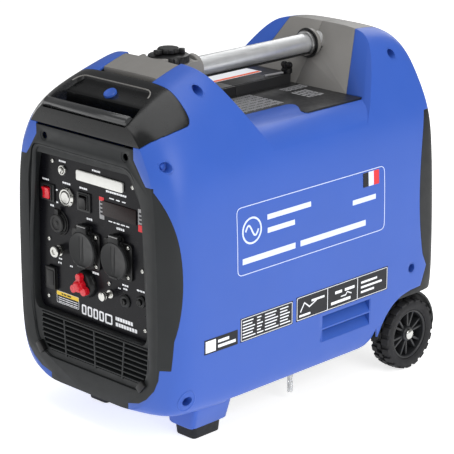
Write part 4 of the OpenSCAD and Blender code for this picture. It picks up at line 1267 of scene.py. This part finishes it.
def strokes(name, rows, thickness=0.3, base=0.0):
    # each row: start x, z, the widths of its strokes, their height and the gap
    pieces = []
    for x, z, widths, height, gap in rows:
        for width in widths:
            pieces.append(plate("stroke", x + width / 2, z, width, height, base - 0.1, base + thickness))
            x += width + gap
    return joined(name, pieces)


legends = [
    (-66, 357.5, (3, 2, 3.4, 2.4), 2.4, 0.8), (-0.5, 357.5, (3, 4, 2.6, 3.6), 2.4, 0.8),
    (-101, 326.5, (3.2, 2.4, 3, 2.2), 2.4, 0.8), (-60, 329, (3, 4, 2.4, 3.8), 2.4, 0.8),
    (-26, 329, (3.6, 2.6, 3, 3.4), 2.4, 0.8), (-73.5, 316, (3,), 2.2, 1), (-73.5, 299, (3.6,), 2.2, 1),
    (-86, 292.5, (2.6, 3.4), 2.6, 1), (-76, 289, (5,), 1, 1), (-13, 289.5, (2.4, 3.6, 3), 2.8, 0.8),
    (26, 335, (3.4, 2.2, 4, 2.6, 4.4, 3, 2.4, 3.8, 2.8, 3.6), 2.6, 0.7), (32, 326.5, (9, 7, 7), 1.5, 4),
    (30, 295.4, (7, 4, 6, 8, 6), 1.5, 2), (45, 289, (2.4, 4, 3, 2.6), 3, 0.8),
    (-71.5, 221, (3, 2.4), 2, 0.8), (-73, 215, (2, 2), 2.6, 2.4), (-49, 215.5, (2, 2.4), 2.2, 1),
    (-8, 223.5, (4, 3, 5), 1.6, 0.9), (-4, 217.5, (4.4, 3, 3.6), 3, 0.8),
    (54, 214.5, (3.4, 3, 3.6), 2.2, 0.8), (56, 209.6, (3, 3.6), 2.2, 0.8), (82, 214, (4, 2, 3, 3), 2.2, 0.8),
    (46, 208, (2, 2), 1.6, 0.8),
]
finished(strokes("panel_legends", legends), "housing", whitePrint, "gloss_panel")
# a plain row of blocks and two rows of bars where the rating was written
blocks = []
for index, (height, width) in enumerate(((14, 9), (14, 9), (14, 9), (14, 9), (14, 14))):
    x = -27 + index * 11.6
    openBlock = plate("block", x + width / 2, 160.5 - index * 0.2, width, height, -0.1, 0.35, 2.4)
    hollowed = plate("hollow", x + width / 2, 160.5 - index * 0.2, width - 4.6, height - 4.6, -1, 2, 1.2)
    blocks.append(combine(openBlock, hollowed))
blocks.append(strokes("bars", [(40, 164.4, (2, 4.4, 4, 3.8, 4.2, 4, 4), 5, 1.1),
                               (40, 156.4, (4.4, 4, 4.2, 3.8, 4.4, 4, 4.6, 4), 5, 1.1)], 0.35))
finished(joined("rating_blocks", blocks), "housing", whitePrint, "gloss_panel")

ladders, marks = [], []
for x, ladderAt, dotAt in ((17, 310, 322.6), (91, 309, 298)):
    ladders.append(plate("ladder", x, ladderAt, 9, 30, -0.1, 0.35, 0.8))
    for step in range(4):
        marks.append(plate("mark", x - 0.4, 318 - step * 5.2, 4.6, 2.8, 0.2, 0.5))
    marks.append(plate("dot", x, dotAt, 1, 1, 0.2, 0.4))
finished(joined("level_ladders", ladders), "housing", labelSilver, "gloss_panel")
finished(joined("level_marks", marks), "housing", labelBlack, "gloss_panel")
reds = [plate("red", 17, 322.4, 9.1, 5, 0.1, 0.55, 0.6), plate("red", 91, 298.4, 9.1, 9, 0.1, 0.55, 0.6)]
finished(joined("level_ends", reds), "housing", redPrint, "gloss_panel")
notice = {"x": -55.5, "z": 166, "width": 45, "height": 17}
x, z, width, height = (notice[key] for key in ("x", "z", "width", "height"))
ring = plate("notice_edge", x, z, width, height, -0.1, 0.3, 2)
combine(ring, plate("inside", x, z, width - 1.2, height - 1.2, -1, 1, 1.6))
lines = strokes("lines", [(x - 19, z - 0.4 - step * 3, (7, 5, 9, 6, 8), 1, 0.9) for step in range(3)])
finished(joined("notice_lines", [ring, lines]), "housing", whitePrint, "gloss_panel")
finished(plate("notice_head", x, z + 5.4, width - 0.4, 5.4, -0.1, 0.4, 1), "housing", yellowPrint, "gloss_panel")
finished(strokes("notice_bars", [(x - 12, z + 5.4, (3, 5, 8), 2, 1.6)], 0.6), "housing", labelBlack, "gloss_panel")


# printing on the blue sides

print("side labels")


def sideX(y, z, sign=1):
    # where the moulded side lies at a height and place
    hit, place, _, _ = form.ray_cast(Vector((sign * 0.3, y * mm, z * mm)), Vector((-sign, 0, 0)))
    return place.x / mm if hit else sign * 160


def sidePlate(name, y, z, width, height, lift, sign=1):
    # a thin label that follows the side, laid from its low corner
    across, up = max(1, int(width / 9)), max(1, int(height / 6))
    clearSelection()
    bpy.ops.mesh.primitive_grid_add(x_subdivisions=across, y_subdivisions=up, size=1)
    piece = named(name)
    for index, vertex in enumerate(piece.data.vertices):
        row, column = divmod(index, across + 1)
        py = y + width * column / across
        pz = z + height * row / up
        vertex.co = Vector((sideX(py, pz, sign) + sign * lift, py, pz)) * mm
    applyStep(piece, "SOLIDIFY", thickness=0.7 * mm, offset=-sign)
    return tidyNormals(piece, 0.001)


def sideWire(name, points, radius, sign=1, closed=False, lift=0.0):
    return wire(name, [(sideX(y, z, sign) + sign * lift, y, z) for y, z in points], radius, closed)


def dense(outline, step=7):
    points = []
    for index, here in enumerate(outline):
        onward = outline[(index + 1) % len(outline)]
        count = max(1, int(math.dist(here, onward) / step))
        for part in range(count):
            points.append(tuple(a + (b - a) * part / count for a, b in zip(here, onward)))
    return points


def oval(y, z, wide, tall, step):
    turns = [math.radians(angle) for angle in range(0, 360, step)]
    return [(y + wide * math.cos(turn), z + tall * math.sin(turn)) for turn in turns]


sidePrint = {
    "box": (-148, 143, 226, 317),
    "pocketGap": (36, 84, 295),
    "shortestBar": 12,
    "words": [(-92, 291, (84,), 7), (-92, 273, (52,), 7), (76, 274, (48,), 7), (-139, 240, (100, 132), 8)],
}


def barSpans(low, high, z, sign):
    # the left side's print breaks off at the recoil pocket
    gapLow, gapHigh, gapTop = sidePrint["pocketGap"]
    if sign > 0 or z > gapTop or high < gapLow or low > gapHigh:
        return [(low, high)]
    return [(a, b) for a, b in ((low, gapLow), (gapHigh, high)) if b - a > sidePrint["shortestBar"]]


for sign, name in ((1, "right"), (-1, "left")):
    back, ahead, low, high = sidePrint["box"]
    outline = dense(rounded([(back, low), (ahead, low), (ahead, high), (back, high)], 9, 5))
    gapLow, gapHigh, gapTop = sidePrint["pocketGap"]
    missed = [i for i, (y, z) in enumerate(outline) if sign < 0 and gapLow < y < gapHigh and z < gapTop]
    if missed:
        outline = outline[missed[-1] + 1:] + outline[:missed[0]]
    finished(sideWire(name + "_side_outline", outline, 0.55, sign, not missed), "housing", bluePrint,
             "blue_plastic")
    letters = []
    for y, z, widths, height in sidePrint["words"]:
        # one plain bar for each word; on the left side the rows run the other way
        for width in widths:
            start = y if sign > 0 else -y - width
            for low, high in barSpans(start, start + width, z, sign):
                letters.append(sidePlate("bar", low, z, high - low, height, 0.3, sign))
            y += width + 10
    finished(joined(name + "_side_bars", letters), "housing", bluePrint, "blue_plastic")
    # a wave in a circle stands for the maker's sign
    middle = -121 if sign > 0 else 121
    ring = oval(middle, 283, 17, 17, 12)
    wave = [(middle - 12 + 24 * step / 16, 283 + 7.5 * math.sin(2 * math.pi * step / 16)) for step in range(17)]
    finished(joined(name + "_side_sign", [sideWire("ring", ring, 1.7, sign, True, -0.9),
                                          sideWire("wave", wave, 1.7, sign, False, -0.9)]),
             "housing", bluePrint, "blue_plastic")
    low = 98 if sign > 0 else -131
    for part, start, width, lift, colour in (("_side_tricolour", low, 33, 0.3, bluePrint),
                                             ("_tricolour_first", low, 11, 0.5, labelBlack),
                                             ("_tricolour_last", low + 22, 11, 0.5, redPrint)):
        finished(sidePlate(name + part, start, 294.5, width, 20, lift, sign), "housing", colour, "blue_plastic")

plaques = [(-208, 134, 60, 20), (-143, 134, 100, 33), (-36, 134.5, 189, 34.5)]
for sign, name in ((1, "right"), (-1, "left")):
    dark, light = [], []
    for index, (y, z, width, height) in enumerate(plaques):
        start = y if sign > 0 else -y - width
        dark.append(sidePlate("plaque", start, z, width, height, 0.3, sign))
        if index == 0:
            light.append(sidePlate("field", start + 2, z + 2, 18, height - 4, 0.5, sign))
            light.append(sidePlate("bar", start + 24, z + 11.5, 20, 4, 0.5, sign))
            light.append(sidePlate("bar", start + 24, z + 4.5, 32, 4, 0.5, sign))
        else:
            frameLine = dense(rounded([(start + 1.4, z + 1.4), (start + width - 1.4, z + 1.4),
                                       (start + width - 1.4, z + height - 1.4), (start + 1.4, z + height - 1.4)], 2))
            light.append(sideWire("edge", frameLine, 0.45, sign, True, 0.3))
        if index == 1:
            for row in range(6):
                for barY, long in ((4, 24), (31, 12), (46, 26), (75, 20)):
                    light.append(sidePlate("bar", start + barY, z + 5 + row * 4.3, long - (row * 5) % 7, 1.6,
                                           0.5, sign))
        if index == 2:
            for divide in (62, 124):
                light.append(sidePlate("divide", start + divide, z + 2, 1, height - 4, 0.5, sign))
            for barY, barZ, long, tall in ((6, 5, 22, 3), (30, 22, 26, 3), (78, 20, 14, 4), (98, 20, 20, 4),
                                           (70, 6, 40, 4), (132, 22, 34, 3), (132, 15, 44, 3), (132, 8, 28, 3)):
                light.append(sidePlate("bar", start + barY, z + barZ, long, tall, 0.5, sign))
            spout = [(start + 8, z + 12), (start + 16, z + 24), (start + 26, z + 16), (start + 40, z + 22)]
            light.append(sideWire("spout", spout, 1.5, sign, False, -0.6))
            spout = [(start + 90, z + 14), (start + 100, z + 14), (start + 103, z + 18), (start + 112, z + 14)]
            light.append(sideWire("spout", spout, 1.3, sign, False, -0.5))
    finished(joined(name + "_plaques", dark), "housing", labelBlack, "blue_plastic")
    finished(joined(name + "_plaque_print", light), "housing", whitePrint, "blue_plastic")

# blue cups about the feet, below the side mouldings
for sign, name in ((1, "right_foot_cup"), (-1, "left_foot_skirt")):
    rings = []
    if sign > 0:
        spots = ((85, 129, 32, 17), (83, 131, 33, 19), (81, 139, 35, 48), (79, 148, 37, 66))
    else:
        spots = ((88, 131, 33, 40), (87, 132, 33.5, 41), (84, 138, 34, 52), (82, 142, 35, 60))
    for low, high, deep, z in spots:
        outline = rounded([(low, -167 - deep), (high, -167 - deep), (high, -167 + deep), (low, -167 + deep)], 8, 5)
        rings.append([(sign * px, py, z) for px, py in outline])
    cup = loft(name, rings)
    if sign > 0:
        combine(cup, block("foot_space", (86, -196.5, 0), (129.5, -139.5, 60)))
    finished(softened(cup, 1.2, 2, 40), "housing", bluePlastic, "blue_plastic")

# an oval boss about the lowest front well of each side
bosses = [sideWire("boss", oval(-231, 75, 11, 15, 15), 1.3, sign, True, -0.6) for sign in (1, -1)]
finished(smoothed(joined("well_bosses", bosses)), "housing", bluePlastic, "blue_plastic")


# the parts that stay as the CAD made them

print("inner parts")
inside = {
    "air_filter_box": housingPlastic, "axle": plainSteel, "battery": knobPlastic, "crank_rotor": plainSteel,
    "engine_block": castMetal, "fuel_tank": sheetMetal, "handle_rods": brightSteel,
    "inverter_module": castMetal, "muffler": sheetMetal, "rod_guides": deckPlastic, "stator": copperWire,
}
for node, material in inside.items():
    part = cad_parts[node]
    part.data.materials.clear()
    part.data.materials.append(material)
for helper in (form, solid):
    bpy.data.objects.remove(helper)
